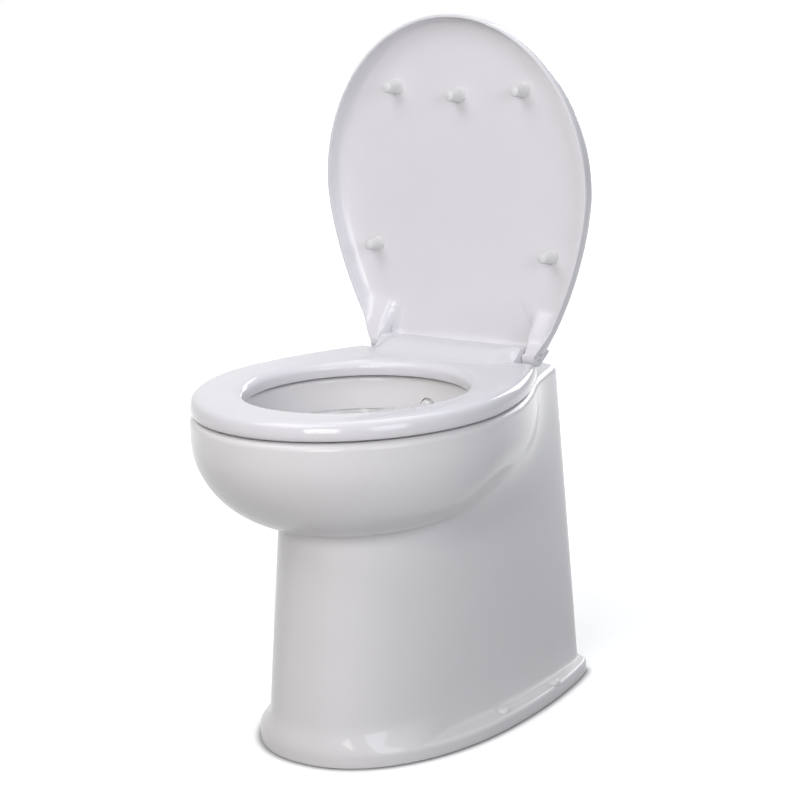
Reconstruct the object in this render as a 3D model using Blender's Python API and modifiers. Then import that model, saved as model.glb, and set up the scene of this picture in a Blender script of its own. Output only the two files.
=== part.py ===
"""Electric marine toilet with a skirted china body, a hinged seat and lid, and its macerator pump.

Metres, +Z up, front towards -Y. The origin is under the middle of the whole part, on the floor.
"""

import math

import bmesh
import bpy
from mathutils import Matrix, Vector

PART_NAME = "electric_marine_toilet"

# Driving sizes of the whole
RIM_HEIGHT = 0.394
RIM_REACH = 0.3965
FOOT_REACH = 0.1045
HINGE_RISE = 0.026
TOUCH_GAP = 0.0003
RUN_GAP = 0.0010
BORE_GAP = 0.0004
OVERRUN = 0.004
WELD_DISTANCE = 0.00001

HINGE_Y = (RIM_REACH - FOOT_REACH) / 2
HINGE_Z = RIM_HEIGHT + HINGE_RISE
BACK_Y = HINGE_Y + FOOT_REACH

# Egg outline that the rim, the seat and the lid share, measured from the hinge axis
RIM_HALF_WIDTH = 0.187
WIDEST_REACH = 0.195
RIM_TAIL = 0.102
RIM_REAR_REACH = WIDEST_REACH + RIM_TAIL
REAR_POWER = 1.6
BOWL_Y = HINGE_Y - WIDEST_REACH

# China: the bowl's belly
BELLY_FALL = 0.027
BELLY_Z = RIM_HEIGHT - BELLY_FALL
BELLY_DROP = 0.105
BELLY_INSET = 0.120
RIM_ROUND = 0.009

# China: the skirt, at the floor, under the belly and at the deck
SKIRT_FLARE = 0.0040
SKIRT_DECK_HALF = 0.1165
SKIRT_DECK_CORNER_INSET = 0.0235
SKIRT_DECK_CORNER = SKIRT_DECK_HALF - SKIRT_DECK_CORNER_INSET
SKIRT_DECK_BACK = 0.0880
SKIRT_WIDEST_REACH = 0.060
SKIRT_FOOT_HALF = SKIRT_DECK_HALF + SKIRT_FLARE
SKIRT_FOOT_REACH = 0.329
SKIRT_FOOT_POWER = 2.6
SKIRT_FOOT_CORNER_INSET = 0.0130
SKIRT_FOOT_CORNER = SKIRT_FOOT_HALF - SKIRT_FOOT_CORNER_INSET
SKIRT_FOOT_BACK = 0.1035
SKIRT_NECK_Z = 0.258
SKIRT_NECK_REACH = 0.3035
SKIRT_NECK_POWER = 2.2

# China: the foot flange
FLANGE_LEDGE = 0.0265
FLANGE_HALF = SKIRT_FOOT_HALF + FLANGE_LEDGE
FLANGE_WIDEST_REACH = 0.100
FLANGE_FRONT_REACH = 0.3325
FLANGE_FRONT_POWER = 2.2
FLANGE_CORNER_LEDGE = 0.0110
FLANGE_CORNER = SKIRT_FOOT_CORNER + FLANGE_CORNER_LEDGE
FLANGE_HEIGHT = 0.017
FLANGE_ROUND = 0.005
FLANGE_FILLET = 0.0048

# China: the foot's flare in front, which gives way to the ledge towards the sides
FLARE_FOOT_Z = FLANGE_HEIGHT - FLANGE_ROUND
FLARE_RISE = 0.036
FLARE_TOP_Z = FLARE_FOOT_Z + FLARE_RISE
FLARE_POWER = 1.6
FLARE_TURN = math.radians(55)
LEDGE_TURN = math.radians(95)

# China: walls, deck, bowl and openings
CHINA_WALL = 0.010
DECK_THICK = 0.012
RIM_SIDE_WIDTH = 0.049
RIM_FRONT_WIDTH = 0.0515
DECK_DEPTH = 0.059
MOUTH_HALF = RIM_HALF_WIDTH - RIM_SIDE_WIDTH
MOUTH_FRONT = RIM_REACH - WIDEST_REACH - RIM_FRONT_WIDTH
MOUTH_REAR = WIDEST_REACH - DECK_DEPTH
MOUTH_ROUND = 0.006
BOWL_FLOOR_Z = 0.197
BOWL_FLOOR_RADIUS = 0.034
SUMP_SHIFT = 0.034
OUTLET_RADIUS = 0.022
NECK_RADIUS = 0.030
NECK_DROP = 0.030
DOOR_JAMB = 0.021
DOOR_HALF = SKIRT_DECK_CORNER - DOOR_JAMB
DOOR_HEIGHT = 0.290
DOOR_ROUND = 0.026

# The belly's crease in front, and its sweep into the skirt from the sides to the back
CREASE_WIDTH = 0.012
SWEEP_DROP = 0.142
SWEEP_WIDTH = 0.030
SWEEP_START_SHARE = -0.35
SWEEP_END_SHARE = 0.45

# How far the bowl's tail reaches into the deck, and how square the corners are
BOWL_TAIL_SHARE = 0.90
CORNER_POWER = 34

# Floor fixings
FIXING_INSET = 0.0135
FIXING_X = FLANGE_HALF - FIXING_INSET
FIXING_REACHES = (0.114, 0.004)
SCREW_RADIUS = 0.0030
SCREW_HEAD_RADIUS = 0.0060
SCREW_HEAD_HEIGHT = 0.0028
SCREW_LENGTH_IN_FLANGE = 0.016
CAP_RADIUS = 0.0080
CAP_HEIGHT = 0.0055

# Hinge
POST_INSET = 0.0155
POST_X = SKIRT_DECK_CORNER - POST_INSET
POST_EYE_RADIUS = 0.0078
POST_EYE_WIDTH = 0.022
POST_STEM_WIDTH = 0.016
POST_STEM_DEPTH = 0.011
POST_FOOT_RADIUS = 0.0165
POST_FOOT_HEIGHT = 0.0035
PIN_RADIUS = 0.0040
PIN_TAIL = 0.0170
PIN_INNER_X = POST_X - PIN_TAIL
PIN_CHAMFER = 0.0006
STUD_RADIUS = 0.0038
STUD_LENGTH = 0.046
STUD_GRIP = 0.0055
NUT_RADIUS = 0.0110
NUT_HEIGHT = 0.0080
WING_SPAN = 0.034
WING_THICK = 0.0035
WASHER_RADIUS = 0.0150
WASHER_HEIGHT = 0.0060

# Seat
SEAT_MARGIN = 0.0010
SEAT_HALF_WIDTH = RIM_HALF_WIDTH - SEAT_MARGIN
SEAT_REACH = RIM_REACH - SEAT_MARGIN
SEAT_LIFT = 0.0030
SEAT_THICK = 0.0212
SEAT_WALL = 0.0055
SEAT_BACK_REACH = 0.0160
RING_SIDE_WIDTH = 0.0570
RING_FRONT_WIDTH = 0.0665
RING_BACK_WIDTH = 0.0520
HOLE_HALF = SEAT_HALF_WIDTH - RING_SIDE_WIDTH
HOLE_FRONT = SEAT_REACH - WIDEST_REACH - RING_FRONT_WIDTH
HOLE_REAR = WIDEST_REACH - SEAT_BACK_REACH - RING_BACK_WIDTH
BLOCK_LUG = 0.0250
BLOCK_HALF = POST_X + BLOCK_LUG
BLOCK_RADIUS = 0.0112
BLOCK_TOE = 0.054
BLOCK_CREST = 0.030
NOTCH_HALF = 0.0132
SEAT_BUMPER_WIDTH = 0.016
SEAT_BUMPER_LENGTH = 0.030
SEAT_BUMPER_STEP = 0.0020
SEAT_BUMPER_FRONT_TURN = math.radians(142)
SEAT_BUMPER_REAR_TURN = math.radians(53.6)

# Lid
LID_MARGIN = 0.0025
LID_OVERHANG = 0.0045
LID_REACH = SEAT_REACH + LID_OVERHANG
LID_DEPTH = 0.0200
LID_THICK = 0.0050
LID_CROWN = 0.0040
LID_WALL = 0.0040
LID_FOOT = 0.0130
LID_LEAN = math.radians(1.0)
EAR_INNER_X = BLOCK_HALF + RUN_GAP
EAR_WIDTH = 0.0175
EAR_OUTER_X = EAR_INNER_X + EAR_WIDTH
EAR_RADIUS = 0.0112
EAR_ROOT = 0.0170
LID_BUMPER_BASE = 0.0095
LID_BUMPER_TIP = 0.0058
FRONT_BUMPER_INSET = 0.0840
FRONT_BUMPER_REACH = SEAT_REACH - FRONT_BUMPER_INSET
MIDDLE_BUMPER_DROP = 0.0080
FRONT_BUMPER_ASIDE = 0.0940
FRONT_BUMPER_X = SEAT_HALF_WIDTH - FRONT_BUMPER_ASIDE
REAR_BUMPER_DROP = 0.0770
REAR_BUMPER_REACH = WIDEST_REACH - REAR_BUMPER_DROP
REAR_BUMPER_ASIDE = 0.0590
REAR_BUMPER_X = SEAT_HALF_WIDTH - REAR_BUMPER_ASIDE

# Bowl outlet
SLEEVE_WALL = 0.0050
SLEEVE_OVERLAP = 0.0160
CLAMP_WIDTH = 0.0090
CLAMP_THICK = 0.0012
CLAMP_SCREW_RADIUS = 0.0042
CLAMP_SCREW_LENGTH = 0.0200
ELBOW_WALL = 0.0045
ELBOW_BEND = 0.040

# Floor tray
TRAY_THICK = 0.0040
TRAY_FRONT_REACH = 0.235
TRAY_BACK_REACH = 0.085

# Pump
PUMP_Z = 0.0720
PUMP_RADIUS = 0.0460
PUMP_WALL = 0.0045
PUMP_LENGTH = 0.0560
PUMP_FRONT_WALL = 0.0050
CHOPPER_PLATE_THICK = 0.0030
CHOPPER_PLATE_SETBACK = 0.0140
CHOPPER_SLOTS = 6
CHOPPER_SLOT_RADIUS = 0.0050
CHOPPER_SLOT_PITCH = 0.0240
BLADE_LENGTH = 0.0560
BLADE_WIDTH = 0.0130
BLADE_THICK = 0.0030
IMPELLER_RADIUS = 0.0360
IMPELLER_DISC = 0.0030
IMPELLER_VANES = 5
VANE_HEIGHT = 0.0120
VANE_THICK = 0.0030
HUB_RADIUS = 0.0090
SEAL_RADIUS = 0.0110
SEAL_LENGTH = 0.0075
PORT_RADIUS = 0.0190
PORT_BORE = 0.0135
PORT_TOP_RISE = 0.0620

# Motor
MOTOR_RADIUS = 0.0395
MOTOR_WALL = 0.0025
MOTOR_LENGTH = 0.0980
PLATE_THICK = 0.0060
END_CAP_LENGTH = 0.0130
SHAFT_RADIUS = 0.0040
SHAFT_TAIL = 0.0070
CORE_RADIUS = 0.0290
CORE_LENGTH = 0.0560
BEARING_RADIUS = 0.0110
BEARING_WIDTH = 0.0070
CRADLE_WIDTH = 0.1040
CRADLE_LENGTH = 0.0640
CRADLE_WRAP_SHARE = 0.62
MOUNT_HEIGHT = 0.0080
STRAP_WIDTH = 0.0180
STRAP_THICK = 0.0016
STRAP_TURN_SHARE = 1.35

# Discharge
SWIVEL_LEG = 0.0220
SWIVEL_BEND = 0.0230
DISCHARGE_REACH = 0.0700
DISCHARGE_RADIUS = 0.0165
DISCHARGE_BORE = 0.0125
BARB_STEP = 0.0015
BARB_COUNT = 3
BARB_PITCH = 0.0090
VALVE_SLEEVE = 0.0020
VALVE_LENGTH = 0.0300
VALVE_LIP = 0.0020

# Rinse water
VALVE_REACH = -0.0300
VALVE_Z = 0.1850
VALVE_BODY = 0.0300
VALVE_CLEARANCE = 0.0033
HOSE_RADIUS = 0.0075
HOSE_BORE = 0.0056
HOSE_BEND = 0.0240
SPIGOT_RADIUS = 0.0046
SPIGOT_LENGTH = 0.0200
COIL_RADIUS = 0.0150
COIL_HEIGHT = 0.0360
GUIDE_RADIUS = 0.0062
PLUNGER_RADIUS = 0.0045
PLUNGER_LENGTH = 0.0200
SPRING_RADIUS = 0.0034
SPRING_WIRE = 0.0005
SPRING_TURNS = 5
BRACKET_THICK = 0.0025
BRACKET_WIDTH = 0.0300
VALVE_X = CRADLE_WIDTH / 2 + VALVE_CLEARANCE + BRACKET_WIDTH - VALVE_BODY / 2 - TOUCH_GAP
NOZZLE_RADIUS = 0.0085
NOZZLE_DROP = 0.0340
NOZZLE_Z = RIM_HEIGHT - NOZZLE_DROP
NOZZLE_FLANGE = 0.0130
NOZZLE_HEAD = 0.0070
GROMMET_WALL = 0.0020

# Numbers of sides and steps
AROUND_STEPS = 20
CORNER_STEPS = 4
BACK_STEPS = 3
ROUND_STEPS = 20
SMALL_STEPS = 14
SCREW_STEPS = 10
STRAP_STEPS = 10
DOOR_STEPS = 5
ELBOW_STEPS = 4
PIPE_SIDES = 3
HOSE_SIDES = 2


# Scene helpers


def clear_scene():
    for item in list(bpy.data.objects):
        bpy.data.objects.remove(item, do_unlink=True)


def collection(name):
    group = bpy.data.collections.new(name)
    bpy.context.scene.collection.children.link(group)
    return group


def linear(hex_colour):
    """Three linear values from an sRGB hex colour such as F2F2F0."""
    values = []
    for start in range(0, len(hex_colour), 2):
        value = int(hex_colour[start:start + 2], 16) / 255
        values.append(value / 12.92 if value <= 0.04045 else ((value + 0.055) / 1.055) ** 2.4)
    return (*values, 1.0)


def material(name, colour, roughness, metallic=0.0):
    finish = bpy.data.materials.new(name)
    finish.use_nodes = True
    shader = finish.node_tree.nodes["Principled BSDF"]
    shader.inputs["Base Color"].default_value = linear(colour)
    shader.inputs["Roughness"].default_value = roughness
    shader.inputs["Metallic"].default_value = metallic
    finish.diffuse_color = linear(colour)
    return finish


def add_mesh(name, mesh, place=(0.0, 0.0, 0.0), turn=(0.0, 0.0, 0.0)):
    item = bpy.data.objects.new(name, mesh)
    item.location = place
    item.rotation_euler = turn
    PARTS.objects.link(item)
    return item


def mesh_from(name, shape):
    """A mesh from a bmesh whose faces are turned to point out."""
    bmesh.ops.recalc_face_normals(shape, faces=shape.faces)
    mesh = bpy.data.meshes.new(name)
    shape.to_mesh(mesh)
    shape.free()
    return mesh


def finish(item, look, smooth_angle=math.radians(35)):
    item.data.materials.append(look)
    if smooth_angle and item.type == "MESH":
        item.data.shade_smooth()
        item.data.set_sharp_from_angle(angle=smooth_angle)
    return item


def as_cutter(item):
    for group in list(item.users_collection):
        group.objects.unlink(item)
    CUTTERS.objects.link(item)
    item.hide_render = True
    item.display_type = "WIRE"
    return item


def combine(item, other, operation):
    """Cuts or joins another object, which stays behind as a guide."""
    as_cutter(other)
    step = item.modifiers.new(operation.lower(), "BOOLEAN")
    step.operation = operation
    step.solver = "EXACT"
    step.object = other
    return item


def cut(item, other):
    return combine(item, other, "DIFFERENCE")


def join(item, other):
    return combine(item, other, "UNION")


# Shape helpers


def box(name, size, centre, bevel=0.0, turn=(0.0, 0.0, 0.0)):
    shape = bmesh.new()
    bmesh.ops.create_cube(shape, size=1.0)
    bmesh.ops.scale(shape, vec=size, verts=shape.verts)
    item = add_mesh(name, mesh_from(name, shape), centre, turn)
    if bevel:
        step = item.modifiers.new("bevel", "BEVEL")
        step.width = bevel
        step.segments = 2
        step.limit_method = "ANGLE"
    return item


def cylinder(name, radius, length, centre, axis="Z", steps=SMALL_STEPS, tip=None):
    """A cylinder or cone whose length is centred on its place and lies along one axis."""
    shape = bmesh.new()
    bmesh.ops.create_cone(
        shape, cap_ends=True, segments=steps, radius1=radius,
        radius2=radius if tip is None else tip, depth=length,
    )
    return add_mesh(name, mesh_from(name, shape), centre, AXIS_TURNS[axis])


AXIS_TURNS = {
    "Z": (0.0, 0.0, 0.0),
    "X": (0.0, math.pi / 2, 0.0),
    "Y": (-math.pi / 2, 0.0, 0.0),
}


def turned(name, profile, place, axis="Z", steps=ROUND_STEPS):
    """A turned body: the profile runs down its outer side, and closes on the axis or on itself."""
    mesh = bpy.data.meshes.new(name)
    points = [(radius, 0.0, height) for radius, height in profile]
    edges = [(index, index + 1) for index in range(len(points) - 1)]
    if profile[0][0] > 0.0:
        edges.append((len(points) - 1, 0))
    mesh.from_pydata(points, edges, [])
    item = add_mesh(name, mesh, place, AXIS_TURNS[axis])
    step = item.modifiers.new("screw", "SCREW")
    step.steps = steps
    step.render_steps = steps
    step.use_merge_vertices = True
    step.merge_threshold = WELD_DISTANCE
    return item


def tube(name, points, radius, sides):
    """A round bar along a line of points, as a closed mesh."""
    curve = bpy.data.curves.new(name, "CURVE")
    curve.dimensions = "3D"
    curve.bevel_depth = radius
    curve.bevel_resolution = sides
    curve.use_fill_caps = True
    spline = curve.splines.new("POLY")
    spline.points.add(len(points) - 1)
    for point, place in zip(spline.points, points):
        point.co = (*place, 1.0)
    guide = bpy.data.objects.new(name + "_curve", curve)
    PARTS.objects.link(guide)
    depsgraph = bpy.context.evaluated_depsgraph_get()
    mesh = bpy.data.meshes.new_from_object(guide.evaluated_get(depsgraph))
    bpy.data.objects.remove(guide, do_unlink=True)
    shape = bmesh.new()
    shape.from_mesh(mesh)
    bmesh.ops.remove_doubles(shape, verts=shape.verts, dist=WELD_DISTANCE)
    bpy.data.meshes.remove(mesh)
    return add_mesh(name, mesh_from(name, shape))


def smooth_route(points, steps):
    """Points on a smooth curve that passes through the given places."""
    places = [Vector(point) for point in points]
    places = [2 * places[0] - places[1], *places, 2 * places[-1] - places[-2]]
    route = []
    for index in range(1, len(places) - 2):
        before, start, end, after = places[index - 1:index + 3]
        for step in range(steps):
            share = step / steps
            route.append(0.5 * (
                2 * start + (end - before) * share
                + (2 * before - 5 * start + 4 * end - after) * share ** 2
                + (3 * start - before - 3 * end + after) * share ** 3
            ))
    route.append(places[-2])
    return route


def loft(name, rings, pole_ends=True, closed=False):
    """Bridges rings of equal length into one closed body, with a face over each end."""
    shape = bmesh.new()
    loops = [[shape.verts.new(point) for point in ring] for ring in rings]
    pairs = list(zip(loops, loops[1:]))
    if closed:
        pairs.append((loops[-1], loops[0]))
    for lower, upper in pairs:
        count = len(lower)
        for index in range(count):
            after = (index + 1) % count
            shape.faces.new((lower[index], lower[after], upper[after], upper[index]))
    if pole_ends and not closed:
        shape.faces.new(loops[0])
        shape.faces.new(loops[-1])
    return add_mesh(name, mesh_from(name, shape))


def extrusion(name, outline, start, end, plane="YZ"):
    """A flat outline drawn in one plane and given a thickness across it."""
    shape = bmesh.new()
    order = {
        "YZ": lambda a, b, c: (c, a, b),
        "XZ": lambda a, b, c: (a, c, b),
        "XY": lambda a, b, c: (a, b, c),
    }[plane]
    verts = [shape.verts.new(order(a, b, start)) for a, b in outline]
    face = shape.faces.new(verts)
    grown = bmesh.ops.extrude_face_region(shape, geom=[face])
    moved = [item for item in grown["geom"] if isinstance(item, bmesh.types.BMVert)]
    bmesh.ops.translate(shape, vec=Vector(order(0.0, 0.0, end - start)), verts=moved)
    return add_mesh(name, mesh_from(name, shape))


def arc(centre, radius, start, end, steps):
    """Points on an arc in a plane, from one angle in degrees to another."""
    points = []
    for step in range(steps + 1):
        angle = math.radians(start + (end - start) * step / steps)
        points.append((centre[0] + radius * math.cos(angle), centre[1] + radius * math.sin(angle)))
    return points


# Outlines, as distances from the middle of the bowl along a ray


def superellipse_value(x, y, half, reach, power):
    return abs(x / half) ** power + abs(y / reach) ** power


def ray_reach(inside, ray):
    """How far a ray from the middle of the bowl stays inside a shape."""
    near, far = 0.0, RIM_REACH + RIM_REAR_REACH
    for _ in range(40):
        middle = (near + far) / 2
        if inside(ray[0] * middle, BOWL_Y + ray[1] * middle):
            near = middle
        else:
            far = middle
    return near


def egg_reach(ray, half, front, rear, rear_power=REAR_POWER):
    """The egg of the rim, seat or lid: round in front of its widest place, narrower behind."""
    def inside(x, y):
        behind = y > BOWL_Y
        reach = rear if behind else front
        power = rear_power if behind else 2.0
        return superellipse_value(x, y - BOWL_Y, half, reach, power) < 1.0
    return ray_reach(inside, ray)


def dee_reach(ray, half, widest, front, front_power, corner, back, inset=0.0):
    """A skirt section: round in front, tapered sides and a flat back with rounded corners."""
    widest_y = HINGE_Y - widest
    back_y = HINGE_Y + back
    taper = (corner / half) ** 2
    rear = (back_y - widest_y) / math.sqrt(1.0 - taper)
    def inside(x, y):
        behind = y > widest_y
        reach = rear if behind else front - widest
        power = 2.0 if behind else front_power
        return superellipse_value(x, y - widest_y, half - inset, reach - inset, power) < 1.0
    side = ray_reach(inside, ray)
    if ray[1] <= 0.0:
        return side
    flat = (back_y - inset - BOWL_Y) / ray[1]
    return (side ** -CORNER_POWER + flat ** -CORNER_POWER) ** (-1.0 / CORNER_POWER)


def rays_around(corner_x, corner_y):
    """Directions round the bowl from the front, closer together at the two back corners."""
    corner = math.atan2(corner_x, corner_y - BOWL_Y)
    spread = math.radians(9)
    front_angles = [math.pi - (math.pi - corner - spread) * step / AROUND_STEPS
                    for step in range(AROUND_STEPS)]
    corner_angles = [corner + spread - 2 * spread * step / CORNER_STEPS
                     for step in range(CORNER_STEPS)]
    back_angles = [(corner - spread) * (1 - step / BACK_STEPS) for step in range(BACK_STEPS)]
    half = front_angles + corner_angles + back_angles
    full = half + [0.0] + [-angle for angle in reversed(half[1:])]
    return [(math.sin(angle), math.cos(angle)) for angle in full]


def ring_points(rays, reaches, height):
    return [(ray[0] * reach, BOWL_Y + ray[1] * reach, height)
            for ray, reach in zip(rays, reaches)]


def smooth_share(share):
    """Rises smoothly from 0 to 1 between the shares 0 and 1."""
    share = min(max(share, 0.0), 1.0)
    return share * share * (3.0 - 2.0 * share)


def mix(start, end, share):
    return start + (end - start) * share


def skirt_values(height):
    """The skirt's section at a height, straight between the floor, the neck and the deck."""
    share = height / RIM_HEIGHT
    neck_share = min(height / SKIRT_NECK_Z, 1.0)
    return {
        "half": mix(SKIRT_FOOT_HALF, SKIRT_DECK_HALF, share),
        "widest": SKIRT_WIDEST_REACH,
        "front": mix(SKIRT_FOOT_REACH, SKIRT_NECK_REACH, neck_share),
        "front_power": mix(SKIRT_FOOT_POWER, SKIRT_NECK_POWER, neck_share),
        "corner": mix(SKIRT_FOOT_CORNER, SKIRT_DECK_CORNER, share),
        "back": mix(SKIRT_FOOT_BACK, SKIRT_DECK_BACK, share),
    }


def belly_inset(height):
    """How far the belly has drawn in at a height below its widest, as a quarter ellipse."""
    drop = min(max(BELLY_Z - height, 0.0) / BELLY_DROP, 1.0)
    return BELLY_INSET * (1.0 - math.sqrt(1.0 - drop ** 2))


def skirt_reach(ray, height, inset=0.0):
    return dee_reach(ray, inset=inset, **skirt_values(height))


def larger(one, other, width):
    """The larger of two reaches, rounded where they come within a width of each other."""
    overlap = max(width - abs(one - other), 0.0) / width
    return max(one, other) + overlap ** 2 * width / 4


def china_reach(ray, height):
    """The outside of bowl and skirt together: creased in front, one sweep at the sides."""
    skirt = skirt_reach(ray, height)
    rim = egg_reach(ray, RIM_HALF_WIDTH, RIM_REACH - WIDEST_REACH, RIM_REAR_REACH)
    if ray[1] > 0.0:
        rim = min(rim, BOWL_TAIL_SHARE * (HINGE_Y + skirt_values(height)["back"] - BOWL_Y) / ray[1])
    creased = skirt
    if height > BELLY_Z - BELLY_DROP:
        creased = larger(rim - belly_inset(height), skirt, CREASE_WIDTH)
    rise_share = smooth_share(1.0 - (BELLY_Z - height) / SWEEP_DROP)
    swept = skirt + larger(rim - skirt, 0.0, SWEEP_WIDTH) * rise_share
    turn_share = (ray[1] - SWEEP_START_SHARE) / (SWEEP_END_SHARE - SWEEP_START_SHARE)
    return mix(creased, swept, smooth_share(turn_share))


def flange_reach(ray):
    return dee_reach(
        ray, FLANGE_HALF, FLANGE_WIDEST_REACH, FLANGE_FRONT_REACH, FLANGE_FRONT_POWER,
        FLANGE_CORNER, FOOT_REACH,
    )


def foot_reach(ray, height, ledge):
    """The foot's outside: one sweep out to its edge in front, the given ledge at the sides."""
    wall = china_reach(ray, height)
    spread = max(flange_reach(ray) - wall, 0.0)
    rise = max(height - FLARE_FOOT_Z, 0.0) / FLARE_RISE
    flare = wall + spread * max(1.0 - rise, 0.0) ** FLARE_POWER
    turn = math.atan2(abs(ray[0]), -ray[1])
    return mix(flare, ledge, smooth_share((turn - FLARE_TURN) / (LEDGE_TURN - FLARE_TURN)))


# Where the pump, outlet and valve stand, worked out from the sizes above
SUMP_Y = BOWL_Y + SUMP_SHIFT
NECK_END_Z = BOWL_FLOOR_Z - NECK_DROP
ELBOW_END_Y = SUMP_Y + ELBOW_BEND
PUMP_FRONT_Y = ELBOW_END_Y + SLEEVE_OVERLAP / 2
PUMP_BACK_Y = PUMP_FRONT_Y + PUMP_LENGTH
PLATE_BACK_Y = PUMP_BACK_Y + PLATE_THICK
MOTOR_BACK_Y = PLATE_BACK_Y + MOTOR_LENGTH
PORT_Y = PUMP_BACK_Y - PORT_RADIUS - PUMP_WALL
PORT_TOP_Z = PUMP_Z + PORT_TOP_RISE
VALVE_Y = HINGE_Y - VALVE_REACH


# China body


FILLET_SHARES = ((0.0, 1.0), (0.2, 0.5), (0.5, 0.2), (1.0, 0.0))
BELLY_SHARES = (0.985, 0.955, 0.92, 0.87, 0.81, 0.73, 0.63, 0.50, 0.35, 0.18)


def china_outside(rays):
    """The rings of the outside, from the floor up to the rim."""
    rings = []
    flange_steps = (
        (0.0, FLANGE_ROUND / 4),
        (FLANGE_ROUND / 4, 0.0),
        (FLANGE_HEIGHT - FLANGE_ROUND, 0.0),
        (FLANGE_HEIGHT - FLANGE_ROUND / 4, FLANGE_ROUND / 3),
        (FLANGE_HEIGHT, FLANGE_ROUND),
    )
    for height, inset in flange_steps:
        reaches = [max(flange_reach(ray), china_reach(ray, height)) - inset for ray in rays]
        if height > FLARE_FOOT_Z:
            reaches = [foot_reach(ray, height, ledge) for ray, ledge in zip(rays, reaches)]
        rings.append(ring_points(rays, reaches, height))
    for rise_share, spread_share in FILLET_SHARES:
        height = FLANGE_HEIGHT + FLANGE_FILLET * rise_share
        spread = FLANGE_FILLET * spread_share
        top = [flange_reach(ray) - FLANGE_ROUND for ray in rays]
        reaches = [min(china_reach(ray, height) + spread, max(limit, china_reach(ray, height)))
                   for ray, limit in zip(rays, top)]
        reaches = [foot_reach(ray, height, ledge) for ray, ledge in zip(rays, reaches)]
        rings.append(ring_points(rays, reaches, height))
    for share in (0.25, 0.60, 1.0):
        height = mix(FLANGE_HEIGHT + FLANGE_FILLET, FLARE_TOP_Z, share)
        reaches = [foot_reach(ray, height, china_reach(ray, height)) for ray in rays]
        rings.append(ring_points(rays, reaches, height))
    skirt_top = BELLY_Z - BELLY_DROP
    for share in (0.42, 0.68, 0.87, 0.95):
        height = skirt_top * share
        rings.append(ring_points(rays, [china_reach(ray, height) for ray in rays], height))
    for share in BELLY_SHARES:
        height = BELLY_Z - BELLY_DROP * share
        rings.append(ring_points(rays, [china_reach(ray, height) for ray in rays], height))
    for angle in (0, 35, 65, 90):
        turn = math.radians(angle)
        height = RIM_HEIGHT - RIM_ROUND * (1.0 - math.sin(turn))
        inset = RIM_ROUND * (1.0 - math.cos(turn))
        rings.append(ring_points(
            rays, [china_reach(ray, height) - inset for ray in rays], height))
    return rings


BOWL_PROFILE_SHARES = (
    (0.0, 0.0), (0.07, 0.16), (0.17, 0.36), (0.32, 0.58), (0.52, 0.80), (0.76, 0.965), (1.0, 1.0),
)


def bowl_rings(rays, spread, floor_z, top_z):
    """Rings of the bowl's inside, or of its outside at a wall's spread, from the floor up."""
    mouth = [egg_reach(ray, MOUTH_HALF, MOUTH_FRONT, MOUTH_REAR, 2.0) for ray in rays]
    rings = []
    for height_share, width_share in BOWL_PROFILE_SHARES:
        height = mix(BOWL_FLOOR_Z, RIM_HEIGHT - MOUTH_ROUND, height_share)
        shift = SUMP_SHIFT * (1.0 - width_share)
        ring = []
        for ray, reach in zip(rays, mouth):
            radius = mix(BOWL_FLOOR_RADIUS, reach, width_share) + spread
            ring.append((ray[0] * radius, BOWL_Y + shift + ray[1] * radius, height))
        rings.append(ring)
    if spread:
        rings.insert(0, [(x, y, floor_z) for x, y, _ in rings[0]])
        rings.append([(x, y, top_z) for x, y, _ in rings[-1]])
        return rings
    for angle in (45, 90):
        turn = math.radians(angle)
        grow = MOUTH_ROUND * (1.0 - math.cos(turn))
        height = RIM_HEIGHT - MOUTH_ROUND * (1.0 - math.sin(turn))
        rings.append(ring_points(rays, [reach + grow for reach in mouth], height))
    rings.append([(x, y, top_z) for x, y, _ in rings[-1]])
    return rings


def service_cavity(rays):
    """The hollow inside the skirt, open at the floor, that leaves the bowl's own wall."""
    rings = []
    heights = (-OVERRUN, FLANGE_HEIGHT, SKIRT_NECK_Z, RIM_HEIGHT - DECK_THICK)
    for height in heights:
        reaches = [skirt_reach(ray, max(height, 0.0), CHINA_WALL) for ray in rays]
        rings.append(ring_points(rays, reaches, height))
    cavity = loft("service_cavity", rings)
    shell = loft("bowl_wall", bowl_rings(rays, CHINA_WALL, BOWL_FLOOR_Z - CHINA_WALL,
                                         RIM_HEIGHT + OVERRUN))
    cut(cavity, shell)
    neck = cylinder("neck_wall", NECK_RADIUS, NECK_DROP + CHINA_WALL,
                    (0.0, SUMP_Y, NECK_END_Z + (NECK_DROP + CHINA_WALL) / 2), steps=ROUND_STEPS)
    cut(cavity, neck)
    return cavity


def service_door():
    """The arched opening in the back, from the floor up, that the pump and hoses pass through."""
    top = DOOR_HEIGHT - DOOR_ROUND
    side = DOOR_HALF - DOOR_ROUND
    outline = [(-DOOR_HALF, -OVERRUN), (DOOR_HALF, -OVERRUN)]
    outline += arc((side, top), DOOR_ROUND, 0, 90, DOOR_STEPS)
    outline += arc((-side, top), DOOR_ROUND, 90, 180, DOOR_STEPS)
    inner_y = HINGE_Y + SKIRT_DECK_BACK - CHINA_WALL - OVERRUN
    return extrusion("service_door", outline, inner_y, BACK_Y + OVERRUN, "XZ")


def fixing_places():
    return [(side * FIXING_X, HINGE_Y - reach) for side in (-1, 1) for reach in FIXING_REACHES]


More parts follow.
